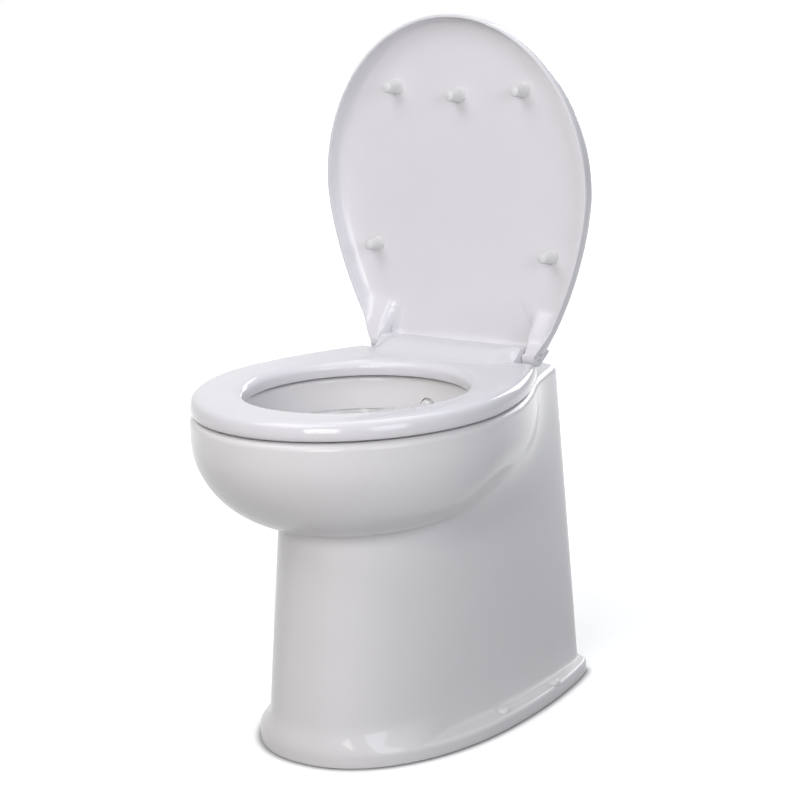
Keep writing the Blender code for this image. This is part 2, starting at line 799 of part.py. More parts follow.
def make_china():
    rays = rays_around(SKIRT_FOOT_CORNER, HINGE_Y + SKIRT_FOOT_BACK)
    body = loft("china_body", china_outside(rays))
    cut(body, loft("bowl_hollow", bowl_rings(rays, 0.0, BOWL_FLOOR_Z, RIM_HEIGHT + OVERRUN)))
    cut(body, service_cavity(rays))
    cut(body, cylinder("outlet_bore", OUTLET_RADIUS, NECK_DROP + 2 * OVERRUN,
                       (0.0, SUMP_Y, NECK_END_Z + NECK_DROP / 2), steps=ROUND_STEPS))
    cut(body, service_door())
    for x, y in fixing_places():
        cut(body, cylinder("fixing_hole", SCREW_RADIUS + BORE_GAP, 2 * FLANGE_HEIGHT + OVERRUN,
                           (x, y, FLANGE_HEIGHT / 2), steps=SCREW_STEPS))
    for side in (-1, 1):
        cut(body, cylinder("stud_hole", STUD_RADIUS + BORE_GAP, DECK_THICK + 2 * OVERRUN,
                           (side * POST_X, HINGE_Y, RIM_HEIGHT - DECK_THICK / 2),
                           steps=SCREW_STEPS))
    nozzle_span = CHINA_WALL * 5
    cut(body, cylinder("nozzle_hole", NOZZLE_RADIUS + GROMMET_WALL + BORE_GAP, nozzle_span,
                       (0.0, BOWL_Y + MOUTH_REAR + CHINA_WALL / 2, NOZZLE_Z), "Y"))
    return finish(body, LOOKS["china"])


def make_fixings():
    for index, (x, y) in enumerate(fixing_places(), 1):
        top = FLANGE_HEIGHT + TOUCH_GAP
        profile = [
            (0.0, top + SCREW_HEAD_HEIGHT),
            (SCREW_HEAD_RADIUS * 0.7, top + SCREW_HEAD_HEIGHT),
            (SCREW_HEAD_RADIUS, top + SCREW_HEAD_HEIGHT / 2),
            (SCREW_HEAD_RADIUS, top),
            (SCREW_RADIUS, top),
            (SCREW_RADIUS, top - SCREW_LENGTH_IN_FLANGE + SCREW_RADIUS / 2),
            (0.0, top - SCREW_LENGTH_IN_FLANGE),
        ]
        screw = turned(f"floor_screw_{index}", profile, (x, y, 0.0), steps=SCREW_STEPS)
        finish(screw, LOOKS["steel"])
        inner = SCREW_HEAD_RADIUS + BORE_GAP
        roof = top + SCREW_HEAD_HEIGHT + TOUCH_GAP
        profile = [
            (0.0, top + CAP_HEIGHT),
            (CAP_RADIUS * 0.55, top + CAP_HEIGHT * 0.94),
            (CAP_RADIUS * 0.88, top + CAP_HEIGHT * 0.62),
            (CAP_RADIUS, top),
            (inner, top),
            (inner, roof),
            (0.0, roof),
        ]
        cap = turned(f"floor_screw_cap_{index}", profile, (x, y, 0.0), steps=SCREW_STEPS)
        finish(cap, LOOKS["white_plastic"])


# Seat


SEAT_EDGE_SHARES = ((0.08, 0.0), (0.0, 0.33), (0.12, 0.72), (0.48, 0.955), (0.95, 1.0))
SEAT_LIP_SHARES = ((0.62, 0.90), (0.20, 0.74), (0.0, 0.48), (0.04, 0.0))
SEAT_EDGE_WIDTH = 0.021
SEAT_CROWN_SHARE = 0.55
POCKET_INNER_SHARE = 1.5
POCKET_OUTER_SHARE = 2.2


def seat_rays():
    corner_x = egg_half_width(SEAT_BACK_REACH)
    return rays_around(corner_x, HINGE_Y - SEAT_BACK_REACH)


def egg_half_width(reach):
    """Half the seat's width at a distance in front of the hinge axis."""
    share = (WIDEST_REACH - reach) / RIM_REAR_REACH
    return SEAT_HALF_WIDTH * (1.0 - abs(share) ** REAR_POWER) ** (1.0 / REAR_POWER)


def seat_reaches(ray):
    """How far a ray goes to the hole's edge and to the seat's outer edge."""
    inner = egg_reach(ray, HOLE_HALF, HOLE_FRONT, HOLE_REAR, 2.0)
    outer = egg_reach(ray, SEAT_HALF_WIDTH, SEAT_REACH - WIDEST_REACH, RIM_REAR_REACH)
    if ray[1] > 0.0:
        outer = min(outer, (HINGE_Y - SEAT_BACK_REACH - BOWL_Y) / ray[1])
    return inner, outer


def make_seat():
    rays = seat_rays()
    base = RIM_HEIGHT + SEAT_LIFT
    inner, outer = zip(*[seat_reaches(ray) for ray in rays])
    rings = []
    for inset_share, height_share in SEAT_EDGE_SHARES:
        reaches = [reach - SEAT_EDGE_WIDTH * inset_share for reach in outer]
        rings.append(ring_points(rays, reaches, base + SEAT_THICK * height_share))
    reaches = [mix(a, b, SEAT_CROWN_SHARE) for a, b in zip(outer, inner)]
    rings.append(ring_points(rays, reaches, base + SEAT_THICK * 0.97))
    for inset_share, height_share in SEAT_LIP_SHARES:
        reaches = [reach + SEAT_EDGE_WIDTH * inset_share for reach in inner]
        rings.append(ring_points(rays, reaches, base + SEAT_THICK * height_share))
    for side, inset, height_share in (
        (inner, -SEAT_WALL, 0.0), (inner, -SEAT_WALL * POCKET_INNER_SHARE, 0.42),
        (outer, SEAT_WALL * POCKET_OUTER_SHARE, 0.62), (outer, SEAT_WALL * 1.3, 0.0),
    ):
        reaches = [reach - inset for reach in side]
        rings.append(ring_points(rays, reaches, base + SEAT_THICK * height_share))
    seat = loft("seat", rings, closed=True)
    seat.data.transform(Matrix.Translation((0.0, -HINGE_Y, -HINGE_Z)))
    seat.location = (0.0, HINGE_Y, HINGE_Z)
    join(seat, hinge_block())
    for side in (-1, 1):
        notch_depth = 2 * BLOCK_RADIUS
        notch_height = 3 * BLOCK_RADIUS
        notch_top = POST_EYE_RADIUS + BORE_GAP
        cut(seat, box("post_notch", (2 * NOTCH_HALF, notch_depth, notch_height),
                      (side * POST_X, HINGE_Y - POST_EYE_RADIUS - BORE_GAP + notch_depth / 2,
                       HINGE_Z + notch_top - notch_height / 2)))
        cut(seat, cylinder("lug_bore", PIN_RADIUS + BORE_GAP, BLOCK_HALF,
                           (side * (PIN_INNER_X - TOUCH_GAP + BLOCK_HALF / 2), HINGE_Y, HINGE_Z),
                           "X"))
    return finish(seat, LOOKS["seat"])


def hinge_block():
    """The raised block behind the seat's hole, rounded about the hinge axis."""
    top = HINGE_Z + BLOCK_RADIUS
    toe_z = RIM_HEIGHT + SEAT_LIFT + SEAT_THICK * 0.88
    bottom = RIM_HEIGHT + SEAT_LIFT + SEAT_THICK * 0.30
    outline = [
        (HINGE_Y - BLOCK_TOE, bottom),
        (HINGE_Y - BLOCK_TOE, toe_z),
        (HINGE_Y - mix(BLOCK_TOE, BLOCK_CREST, 0.45), mix(toe_z, top, 0.42)),
        (HINGE_Y - mix(BLOCK_TOE, BLOCK_CREST, 0.78), mix(toe_z, top, 0.80)),
        (HINGE_Y - BLOCK_CREST, mix(toe_z, top, 0.97)),
        (HINGE_Y - BLOCK_RADIUS, top),
    ]
    outline += arc((HINGE_Y, HINGE_Z), BLOCK_RADIUS, 90, -90, 10)
    outline.append((HINGE_Y - BLOCK_RADIUS, bottom + BLOCK_RADIUS / 4))
    block = extrusion("hinge_block", outline, -BLOCK_HALF, BLOCK_HALF)
    edge = block.modifiers.new("bevel", "BEVEL")
    edge.width = BLOCK_RADIUS / 5
    edge.segments = 2
    edge.angle_limit = math.radians(60)
    return block


def seat_bumper_places():
    """Middles of the four bumpers, between the walls under the seat."""
    places = []
    for name, turn in (("front", SEAT_BUMPER_FRONT_TURN), ("rear", SEAT_BUMPER_REAR_TURN)):
        ray = (math.sin(turn), math.cos(turn))
        inner, outer = seat_reaches(ray)
        reach = (inner + outer + SEAT_WALL * (POCKET_INNER_SHARE - POCKET_OUTER_SHARE)) / 2
        for side, word in ((-1, "left"), (1, "right")):
            places.append((f"seat_bumper_{name}_{word}", side * ray[0] * reach, BOWL_Y + ray[1] * reach))
    return places


def make_seat_bumpers():
    roof = RIM_HEIGHT + SEAT_LIFT + SEAT_THICK * 0.42 - TOUCH_GAP
    foot = RIM_HEIGHT + TOUCH_GAP
    for name, x, y in seat_bumper_places():
        turn = math.atan2(x, BOWL_Y - y)
        pad = box(name, (SEAT_BUMPER_WIDTH, SEAT_BUMPER_LENGTH, roof - foot),
                  (0.0, 0.0, (roof + foot) / 2 - HINGE_Z), SEAT_BUMPER_STEP)
        pad.data.transform(Matrix.Translation((x, y - HINGE_Y, (roof + foot) / 2 - HINGE_Z))
                           @ Matrix.Rotation(turn, 4, "Z"))
        pad.location = (0.0, HINGE_Y, HINGE_Z)
        finish(pad, LOOKS["bumper"])


# Lid, drawn upright with the hinge axis at its origin and its inner face towards -Y


LID_RING_SHARES = (
    ("inner", 0.50, 1.0), ("inner_edge", 4.2, 1.0), ("inner_edge", 2.4, 0.90),
    ("inner_edge", 1.35, 0.55), ("inner_edge", 1.0, 0.0), ("outer_edge", 0.12, 0.0),
    ("outer_edge", 0.0, 0.12), ("outer_edge", 0.25, 0.66), ("outer_edge", 1.2, 1.03),
    ("outer_edge", 3.4, 1.21),
)


def make_lid():
    half = SEAT_HALF_WIDTH + LID_MARGIN
    front = LID_REACH - WIDEST_REACH
    corner_x = EAR_OUTER_X + RUN_GAP
    rays = rays_around(corner_x, HINGE_Y)
    reaches = []
    for ray in rays:
        reach = egg_reach(ray, half, front, RIM_REAR_REACH)
        if ray[1] > 0.0:
            tail = (EAR_INNER_X + EAR_ROOT) / abs(ray[0]) if ray[0] else reach
            reach = min(max(reach, tail), (HINGE_Y - BOWL_Y) / ray[1])
        reaches.append(reach)

    def lid_ring(kind, share, depth_share):
        depth = LID_DEPTH * depth_share
        points = []
        for ray, reach in zip(rays, reaches):
            radius = reach * share if kind in ("inner", "outer") else reach - LID_WALL * share
            points.append((ray[0] * radius, depth, WIDEST_REACH - ray[1] * radius))
        return points

    rings = [lid_ring(*row) for row in LID_RING_SHARES]
    crown = LID_DEPTH + LID_THICK + LID_CROWN
    rings.append([(x, crown * 0.985, z) for x, _, z in lid_ring("outer", 0.55, 1.0)])
    rings.append([(x, crown, z) for x, _, z in lid_ring("outer", 0.12, 1.0)])
    lid = loft("lid", rings)
    foot_depth = 2 * LID_DEPTH + BLOCK_RADIUS + RUN_GAP
    foot_cut = box("lid_foot_cut", (2 * EAR_INNER_X, foot_depth, 2 * LID_FOOT),
                   (0.0, BLOCK_RADIUS + RUN_GAP - foot_depth / 2, 0.0))
    cut(lid, foot_cut)
    for side in (-1, 1):
        width = EAR_OUTER_X - EAR_INNER_X
        ear_x = side * (EAR_OUTER_X + EAR_INNER_X) / 2
        join(lid, cylinder("ear", EAR_RADIUS, width, (ear_x, 0.0, 0.0), "X", ROUND_STEPS))
        cut(lid, cylinder("ear_bore", PIN_RADIUS + BORE_GAP, width + 2 * OVERRUN,
                          (ear_x, 0.0, 0.0), "X"))
    frame = Matrix.Translation((0.0, HINGE_Y, HINGE_Z)) @ Matrix.Rotation(-LID_LEAN, 4, "X")
    for step in lid.modifiers:
        guide = step.object
        guide.matrix_world = frame @ Matrix.LocRotScale(guide.location, guide.rotation_euler, None)
    lid.location = (0.0, HINGE_Y, HINGE_Z)
    lid.rotation_euler = (-LID_LEAN, 0.0, 0.0)
    return finish(lid, LOOKS["lid"])


def lid_bumper_places():
    return (
        ("front_left", -FRONT_BUMPER_X, FRONT_BUMPER_REACH),
        ("front_middle", 0.0, FRONT_BUMPER_REACH - MIDDLE_BUMPER_DROP),
        ("front_right", FRONT_BUMPER_X, FRONT_BUMPER_REACH),
        ("rear_left", -REAR_BUMPER_X, REAR_BUMPER_REACH),
        ("rear_right", REAR_BUMPER_X, REAR_BUMPER_REACH),
    )


def make_lid_bumpers():
    """Short tapered studs that reach from the lid's inner face to the seat's top."""
    seat_clear = HINGE_RISE - SEAT_LIFT - SEAT_THICK
    for name, x, reach in lid_bumper_places():
        root = LID_DEPTH - TOUCH_GAP
        tip = -seat_clear + TOUCH_GAP
        length = root - tip
        profile = [
            (0.0, length), (LID_BUMPER_TIP * 0.7, length * 0.99),
            (LID_BUMPER_TIP, length * 0.90), (LID_BUMPER_BASE * 0.86, length * 0.14),
            (LID_BUMPER_BASE, length * 0.06), (LID_BUMPER_BASE, 0.0), (0.0, 0.0),
        ]
        stud = turned(f"lid_bumper_{name}", profile, (0.0, 0.0, 0.0), steps=SMALL_STEPS)
        frame = (Matrix.Translation((0.0, HINGE_Y, HINGE_Z))
                 @ Matrix.Rotation(-LID_LEAN, 4, "X")
                 @ Matrix.Translation((x, root, reach))
                 @ Matrix.Rotation(math.pi / 2, 4, "X"))
        stud.matrix_world = frame
        finish(stud, LOOKS["bumper"])


# Hinge posts, pins and their fasteners


def make_hinges():
    deck = RIM_HEIGHT + TOUCH_GAP
    for side, word in ((-1, "left"), (1, "right")):
        x = side * POST_X
        post = turned(f"hinge_post_{word}", [
            (0.0, POST_FOOT_HEIGHT),
            (POST_FOOT_RADIUS * 0.8, POST_FOOT_HEIGHT),
            (POST_FOOT_RADIUS, POST_FOOT_HEIGHT / 2),
            (POST_FOOT_RADIUS, 0.0),
            (0.0, 0.0),
        ], (x, HINGE_Y, deck), steps=SMALL_STEPS)
        stem_height = HINGE_Z - deck - POST_FOOT_HEIGHT / 2
        join(post, box("post_stem", (POST_STEM_WIDTH, POST_STEM_DEPTH, stem_height),
                       (x, HINGE_Y, HINGE_Z - stem_height / 2)))
        join(post, cylinder("post_eye", POST_EYE_RADIUS, POST_EYE_WIDTH, (x, HINGE_Y, HINGE_Z),
                            "X", ROUND_STEPS))
        cut(post, cylinder("post_bore", PIN_RADIUS + BORE_GAP, POST_EYE_WIDTH + 2 * OVERRUN,
                           (x, HINGE_Y, HINGE_Z), "X"))
        cut(post, cylinder("stud_socket", STUD_RADIUS + BORE_GAP, 2 * (STUD_GRIP + TOUCH_GAP),
                           (x, HINGE_Y, deck), steps=SCREW_STEPS))
        finish(post, LOOKS["steel"])
        pin = turned(f"hinge_pin_{word}", [
            (0.0, EAR_OUTER_X),
            (PIN_RADIUS - PIN_CHAMFER, EAR_OUTER_X),
            (PIN_RADIUS, EAR_OUTER_X - PIN_CHAMFER),
            (PIN_RADIUS, PIN_INNER_X + PIN_CHAMFER),
            (PIN_RADIUS - PIN_CHAMFER, PIN_INNER_X),
            (0.0, PIN_INNER_X),
        ], (0.0, HINGE_Y, HINGE_Z), steps=SMALL_STEPS)
        pin.rotation_euler = (0.0, side * math.pi / 2, 0.0)
        finish(pin, LOOKS["hinge_plastic"])
        stud_top = deck + STUD_GRIP
        stud = cylinder(f"hinge_stud_{word}", STUD_RADIUS, STUD_LENGTH,
                        (x, HINGE_Y, stud_top - STUD_LENGTH / 2), steps=SCREW_STEPS)
        finish(stud, LOOKS["steel"])
        under = RIM_HEIGHT - DECK_THICK - TOUCH_GAP
        washer = turned(f"hinge_washer_{word}", [
            (WASHER_RADIUS, under), (WASHER_RADIUS * 0.8, under - WASHER_HEIGHT),
            (STUD_RADIUS + BORE_GAP, under - WASHER_HEIGHT), (STUD_RADIUS + BORE_GAP, under),
        ], (x, HINGE_Y, 0.0), steps=SMALL_STEPS)
        finish(washer, LOOKS["rubber"])
        nut_top = under - WASHER_HEIGHT - TOUCH_GAP
        nut = cylinder(f"hinge_wing_nut_{word}", NUT_RADIUS, NUT_HEIGHT,
                       (x, HINGE_Y, nut_top - NUT_HEIGHT / 2))
        join(nut, box("wing", (WING_SPAN, WING_THICK, NUT_HEIGHT),
                      (x, HINGE_Y, nut_top - NUT_HEIGHT * 0.9)))
        cut(nut, cylinder("nut_bore", STUD_RADIUS + BORE_GAP, 4 * NUT_HEIGHT,
                          (x, HINGE_Y, nut_top - NUT_HEIGHT / 2), steps=SCREW_STEPS))
        finish(nut, LOOKS["black_plastic"])


# Bowl outlet


def make_clamp(name, radius, place, axis):
    """A worm-drive band with its screw housing on one side."""
    inner = radius + TOUCH_GAP
    outer = inner + CLAMP_THICK
    half = CLAMP_WIDTH / 2
    band = turned(name, [(outer, half), (outer, -half), (inner, -half), (inner, half)],
                  place, axis, ROUND_STEPS)
    offset = outer + CLAMP_SCREW_RADIUS * 0.8
    if axis == "Z":
        centre = (place[0] + offset, place[1], place[2])
        screw_axis = "Y"
    else:
        centre = (place[0], place[1], place[2] + offset)
        screw_axis = "X"
    join(band, cylinder("clamp_screw", CLAMP_SCREW_RADIUS, CLAMP_SCREW_LENGTH, centre, screw_axis,
                        SCREW_STEPS))
    return finish(band, LOOKS["steel"])


def pipe(name, route, radius, bore, sides):
    """A bent pipe with its bore cut through both ends."""
    item = tube(name, route, radius, sides)
    start, after, before, end = (Vector(route[index]) for index in (0, 1, -2, -1))
    longer = [start - (after - start).normalized() * OVERRUN, *route,
              end + (end - before).normalized() * OVERRUN]
    return cut(item, tube(name + "_bore", longer, bore, sides))


def make_outlet():
    sleeve_inner = NECK_RADIUS + TOUCH_GAP
    sleeve_outer = sleeve_inner + SLEEVE_WALL
    sleeve_top = NECK_END_Z + SLEEVE_OVERLAP
    sleeve_foot = NECK_END_Z - SLEEVE_OVERLAP - TOUCH_GAP
    sleeve = turned("outlet_sleeve", [
        (sleeve_outer, sleeve_top), (sleeve_outer, sleeve_foot),
        (sleeve_inner, sleeve_foot), (sleeve_inner, sleeve_top),
    ], (0.0, SUMP_Y, 0.0))
    finish(sleeve, LOOKS["rubber"])
    for word, height in (("upper", sleeve_top - SLEEVE_OVERLAP / 2),
                         ("lower", sleeve_foot + SLEEVE_OVERLAP / 2)):
        make_clamp(f"outlet_clamp_{word}", sleeve_outer, (0.0, SUMP_Y, height), "Z")
    top = NECK_END_Z - TOUCH_GAP
    route = [(0.0, SUMP_Y, mix(top, sleeve_foot, 0.5)), (0.0, SUMP_Y, PUMP_Z + ELBOW_BEND)]
    bend = arc((ELBOW_END_Y, PUMP_Z + ELBOW_BEND), ELBOW_BEND, 180, 270, ELBOW_STEPS)
    route += [(0.0, y, z) for y, z in bend[1:]]
    route.append((0.0, PUMP_FRONT_Y - TOUCH_GAP, PUMP_Z))
    elbow = tube("outlet_elbow", route, OUTLET_RADIUS + ELBOW_WALL, PIPE_SIDES)
    join(elbow, cylinder("elbow_collar", NECK_RADIUS, top - sleeve_foot,
                         (0.0, SUMP_Y, (top + sleeve_foot) / 2), steps=ROUND_STEPS))
    longer = [(0.0, SUMP_Y, top + OVERRUN), *route[1:-1], (0.0, PUMP_FRONT_Y + OVERRUN, PUMP_Z)]
    cut(elbow, tube("elbow_bore", longer, OUTLET_RADIUS, PIPE_SIDES))
    return finish(elbow, LOOKS["grey_plastic"])


# Pump and motor


def make_pump():
    front = PUMP_FRONT_Y
    length = PUMP_LENGTH - TOUCH_GAP
    outer = PUMP_RADIUS
    inner = PUMP_RADIUS - PUMP_WALL
    throat = OUTLET_RADIUS
    housing = turned("pump_housing", [
        (outer, length), (outer, 0.0), (throat, 0.0), (throat, PUMP_FRONT_WALL),
        (inner, PUMP_FRONT_WALL), (inner, length),
    ], (0.0, front, PUMP_Z), "Y")
    port_length = PORT_TOP_RISE - PUMP_RADIUS + PUMP_WALL / 2
    join(housing, cylinder("port_wall", PORT_RADIUS, port_length,
                           (0.0, PORT_Y, PORT_TOP_Z - port_length / 2), steps=ROUND_STEPS))
    cut(housing, cylinder("port_bore", PORT_BORE, PORT_TOP_RISE,
                          (0.0, PORT_Y, PORT_TOP_Z - PORT_TOP_RISE / 4), steps=ROUND_STEPS))
    finish(housing, LOOKS["black_plastic"])
    plate_y = front + CHOPPER_PLATE_SETBACK
    plate_radius = inner - TOUCH_GAP
    plate = cylinder("chopper_plate", plate_radius, CHOPPER_PLATE_THICK,
                     (0.0, plate_y, PUMP_Z), "Y", ROUND_STEPS)
    for index in range(CHOPPER_SLOTS):
        angle = 2 * math.pi * index / CHOPPER_SLOTS
        spot = (CHOPPER_SLOT_PITCH * math.cos(angle), plate_y,
                PUMP_Z + CHOPPER_SLOT_PITCH * math.sin(angle))
        cut(plate, cylinder("chopper_slot", CHOPPER_SLOT_RADIUS, 3 * CHOPPER_PLATE_THICK, spot,
                            "Y", SCREW_STEPS))
    cut(plate, cylinder("plate_bore", SHAFT_RADIUS + RUN_GAP, 3 * CHOPPER_PLATE_THICK,
                        (0.0, plate_y, PUMP_Z), "Y", SCREW_STEPS))
    finish(plate, LOOKS["steel"])
    seal_y = PUMP_BACK_Y - TOUCH_GAP - SEAL_LENGTH
    seal = turned("shaft_seal", [
        (SEAL_RADIUS, SEAL_LENGTH), (SEAL_RADIUS, SEAL_LENGTH / 2),
        (SEAL_RADIUS * 0.75, 0.0), (SHAFT_RADIUS + BORE_GAP, 0.0),
        (SHAFT_RADIUS + BORE_GAP, SEAL_LENGTH),
    ], (0.0, seal_y, PUMP_Z), "Y", SMALL_STEPS)
    finish(seal, LOOKS["rubber"])


def make_rotor():
    """Shaft, core, impeller and chopper blade, which turn together on the motor's axis."""
    plate_y = PUMP_FRONT_Y + CHOPPER_PLATE_SETBACK
    blade_y = plate_y - CHOPPER_PLATE_THICK / 2 - RUN_GAP - BLADE_THICK / 2
    nose_y = blade_y - BLADE_THICK / 2 - BLADE_THICK
    tail_y = MOTOR_BACK_Y + SHAFT_TAIL
    shaft = cylinder("motor_shaft", SHAFT_RADIUS, tail_y - nose_y,
                     (0.0, (tail_y + nose_y) / 2, PUMP_Z), "Y", SMALL_STEPS)
    finish(shaft, LOOKS["steel"])
    blade = box("chopper_blade", (BLADE_LENGTH, BLADE_THICK, BLADE_WIDTH),
                (0.0, blade_y, PUMP_Z), BLADE_THICK / 6)
    cut(blade, cylinder("blade_bore", SHAFT_RADIUS + BORE_GAP, 3 * BLADE_THICK,
                        (0.0, blade_y, PUMP_Z), "Y"))
    finish(blade, LOOKS["steel"], 0.0)
    disc_y = plate_y + CHOPPER_PLATE_THICK / 2 + 2 * RUN_GAP + VANE_HEIGHT + IMPELLER_DISC / 2
    impeller = cylinder("impeller", IMPELLER_RADIUS, IMPELLER_DISC, (0.0, disc_y, PUMP_Z), "Y",
                        ROUND_STEPS)
    hub_length = VANE_HEIGHT + IMPELLER_DISC
    join(impeller, cylinder("hub", HUB_RADIUS, hub_length,
                            (0.0, disc_y + IMPELLER_DISC / 2 - hub_length / 2, PUMP_Z), "Y"))
    for index in range(IMPELLER_VANES):
        angle = 2 * math.pi * index / IMPELLER_VANES
        radius = (HUB_RADIUS + IMPELLER_RADIUS) / 2 - VANE_THICK
        vane = box("vane", (IMPELLER_RADIUS - HUB_RADIUS, VANE_HEIGHT + IMPELLER_DISC / 2, VANE_THICK),
                   (radius * math.cos(angle), disc_y - VANE_HEIGHT / 2,
                    PUMP_Z + radius * math.sin(angle)), turn=(0.0, -angle, 0.0))
        join(impeller, vane)
    cut(impeller, cylinder("impeller_bore", SHAFT_RADIUS + BORE_GAP, 3 * hub_length,
                           (0.0, disc_y, PUMP_Z), "Y"))
    finish(impeller, LOOKS["black_plastic"])
    core_y = PLATE_BACK_Y + MOTOR_LENGTH / 2
    edge = CORE_RADIUS * 0.12
    core = turned("rotor_core", [
        (CORE_RADIUS - edge, CORE_LENGTH), (CORE_RADIUS, CORE_LENGTH - edge),
        (CORE_RADIUS, edge), (CORE_RADIUS - edge, 0.0),
        (SHAFT_RADIUS + BORE_GAP, 0.0), (SHAFT_RADIUS + BORE_GAP, CORE_LENGTH),
    ], (0.0, core_y - CORE_LENGTH / 2, PUMP_Z), "Y")
    finish(core, LOOKS["copper"])


def make_motor():
    front = PUMP_BACK_Y
    pocket = BEARING_RADIUS + BORE_GAP
    plate_length = PLATE_THICK
    spigot = MOTOR_RADIUS - MOTOR_WALL - TOUCH_GAP
    spigot_length = BEARING_WIDTH
    plate = turned("motor_front_plate", [
        (spigot, plate_length + spigot_length), (spigot, plate_length),
        (PUMP_RADIUS, plate_length), (PUMP_RADIUS, 0.0),
        (SHAFT_RADIUS + RUN_GAP, 0.0), (SHAFT_RADIUS + RUN_GAP, plate_length - TOUCH_GAP),
        (pocket, plate_length - TOUCH_GAP), (pocket, plate_length + spigot_length),
    ], (0.0, front, PUMP_Z), "Y")
    finish(plate, LOOKS["aluminium"])
    case_start = PLATE_BACK_Y + TOUCH_GAP
    case_length = MOTOR_LENGTH - 2 * TOUCH_GAP
    inner = MOTOR_RADIUS - MOTOR_WALL
    case = turned("motor_case", [
        (MOTOR_RADIUS, case_length), (MOTOR_RADIUS, 0.0), (inner, 0.0), (inner, case_length),
    ], (0.0, case_start, PUMP_Z), "Y")
    finish(case, LOOKS["motor_paint"])
    cap_round = END_CAP_LENGTH / 3
    cap = turned("motor_end_cap", [
        (0.0, END_CAP_LENGTH), (MOTOR_RADIUS - cap_round, END_CAP_LENGTH),
        (MOTOR_RADIUS, END_CAP_LENGTH - cap_round), (MOTOR_RADIUS, 0.0), (spigot, 0.0),
        (spigot, -spigot_length), (pocket, -spigot_length), (pocket, TOUCH_GAP),
        (SHAFT_RADIUS + RUN_GAP, TOUCH_GAP), (SHAFT_RADIUS + RUN_GAP, SHAFT_TAIL + RUN_GAP),
        (0.0, SHAFT_TAIL + RUN_GAP),
    ], (0.0, MOTOR_BACK_Y, PUMP_Z), "Y")
    finish(cap, LOOKS["black_plastic"])
    for word, start in (("front", PLATE_BACK_Y), ("rear", MOTOR_BACK_Y - BEARING_WIDTH)):
        bearing = turned(f"bearing_{word}", [
            (BEARING_RADIUS, BEARING_WIDTH), (BEARING_RADIUS, 0.0),
            (SHAFT_RADIUS + BORE_GAP, 0.0), (SHAFT_RADIUS + BORE_GAP, BEARING_WIDTH),
        ], (0.0, start, PUMP_Z), "Y", SMALL_STEPS)
        finish(bearing, LOOKS["steel"])


def make_cradle():
    """The saddle under the motor, on a rubber mat, with a strap over the case."""
    centre_y = PLATE_BACK_Y + MOTOR_LENGTH / 2
    foot = TRAY_THICK + MOUNT_HEIGHT + 2 * TOUCH_GAP
    top = PUMP_Z - MOTOR_RADIUS * (1.0 - CRADLE_WRAP_SHARE)
    cradle = box("motor_cradle", (CRADLE_WIDTH, CRADLE_LENGTH, top - foot),
                 (0.0, centre_y, (top + foot) / 2))
    cut(cradle, cylinder("cradle_saddle", MOTOR_RADIUS + TOUCH_GAP, CRADLE_LENGTH + 2 * OVERRUN,
                         (0.0, centre_y, PUMP_Z), "Y", ROUND_STEPS))
    finish(cradle, LOOKS["grey_plastic"], 0.0)
    mat = box("rubber_mount", (CRADLE_WIDTH, CRADLE_LENGTH, MOUNT_HEIGHT),
              (0.0, centre_y, TRAY_THICK + TOUCH_GAP + MOUNT_HEIGHT / 2), MOUNT_HEIGHT / 6)
    finish(mat, LOOKS["rubber"], 0.0)
    level = top - PUMP_Z + TOUCH_GAP
    upper = level + STRAP_THICK
    facet = math.cos(math.pi / 2 / STRAP_STEPS * STRAP_TURN_SHARE)
    inner = (MOTOR_RADIUS + TOUCH_GAP) / facet
    outer = inner + STRAP_THICK
    foot_angle = math.degrees(math.asin(upper / outer))
    in_angle = math.degrees(math.asin(level / inner))
    tab_x = CRADLE_WIDTH / 2
    outline = [(tab_x, level), (tab_x, upper)]
    outline += arc((0.0, 0.0), outer, foot_angle, 180 - foot_angle, STRAP_STEPS)
    outline += [(-tab_x, upper), (-tab_x, level)]
    outline += arc((0.0, 0.0), inner, 180 - in_angle, in_angle, STRAP_STEPS)
    strap = extrusion("motor_strap", outline, 0.0, STRAP_WIDTH, "XY")
    strap.matrix_world = (Matrix.Translation((0.0, centre_y + STRAP_WIDTH / 2, PUMP_Z))
                          @ Matrix.Rotation(math.pi / 2, 4, "X"))
    finish(strap, LOOKS["steel"])


def make_tray():
    """The floor tray inside the skirt, with the outline of the hollow it stands in."""
    rays = rays_around(SKIRT_FOOT_CORNER, HINGE_Y + SKIRT_FOOT_BACK)
    front_y = HINGE_Y - TRAY_FRONT_REACH
    back_y = HINGE_Y + TRAY_BACK_REACH
    rings = []
    for height in (0.0, TRAY_THICK):
        reaches = []
        for ray in rays:
            reach = skirt_reach(ray, 0.0, CHINA_WALL + 2 * TOUCH_GAP)
            if ray[1] > 0.0:
                reach = min(reach, (back_y - BOWL_Y) / ray[1])
            elif ray[1] < 0.0:
                reach = min(reach, (front_y - BOWL_Y) / ray[1])
            reaches.append(reach)
        rings.append(ring_points(rays, reaches, height))
    tray = loft("floor_tray", rings)
    return finish(tray, LOOKS["grey_plastic"], 0.0)


# Discharge


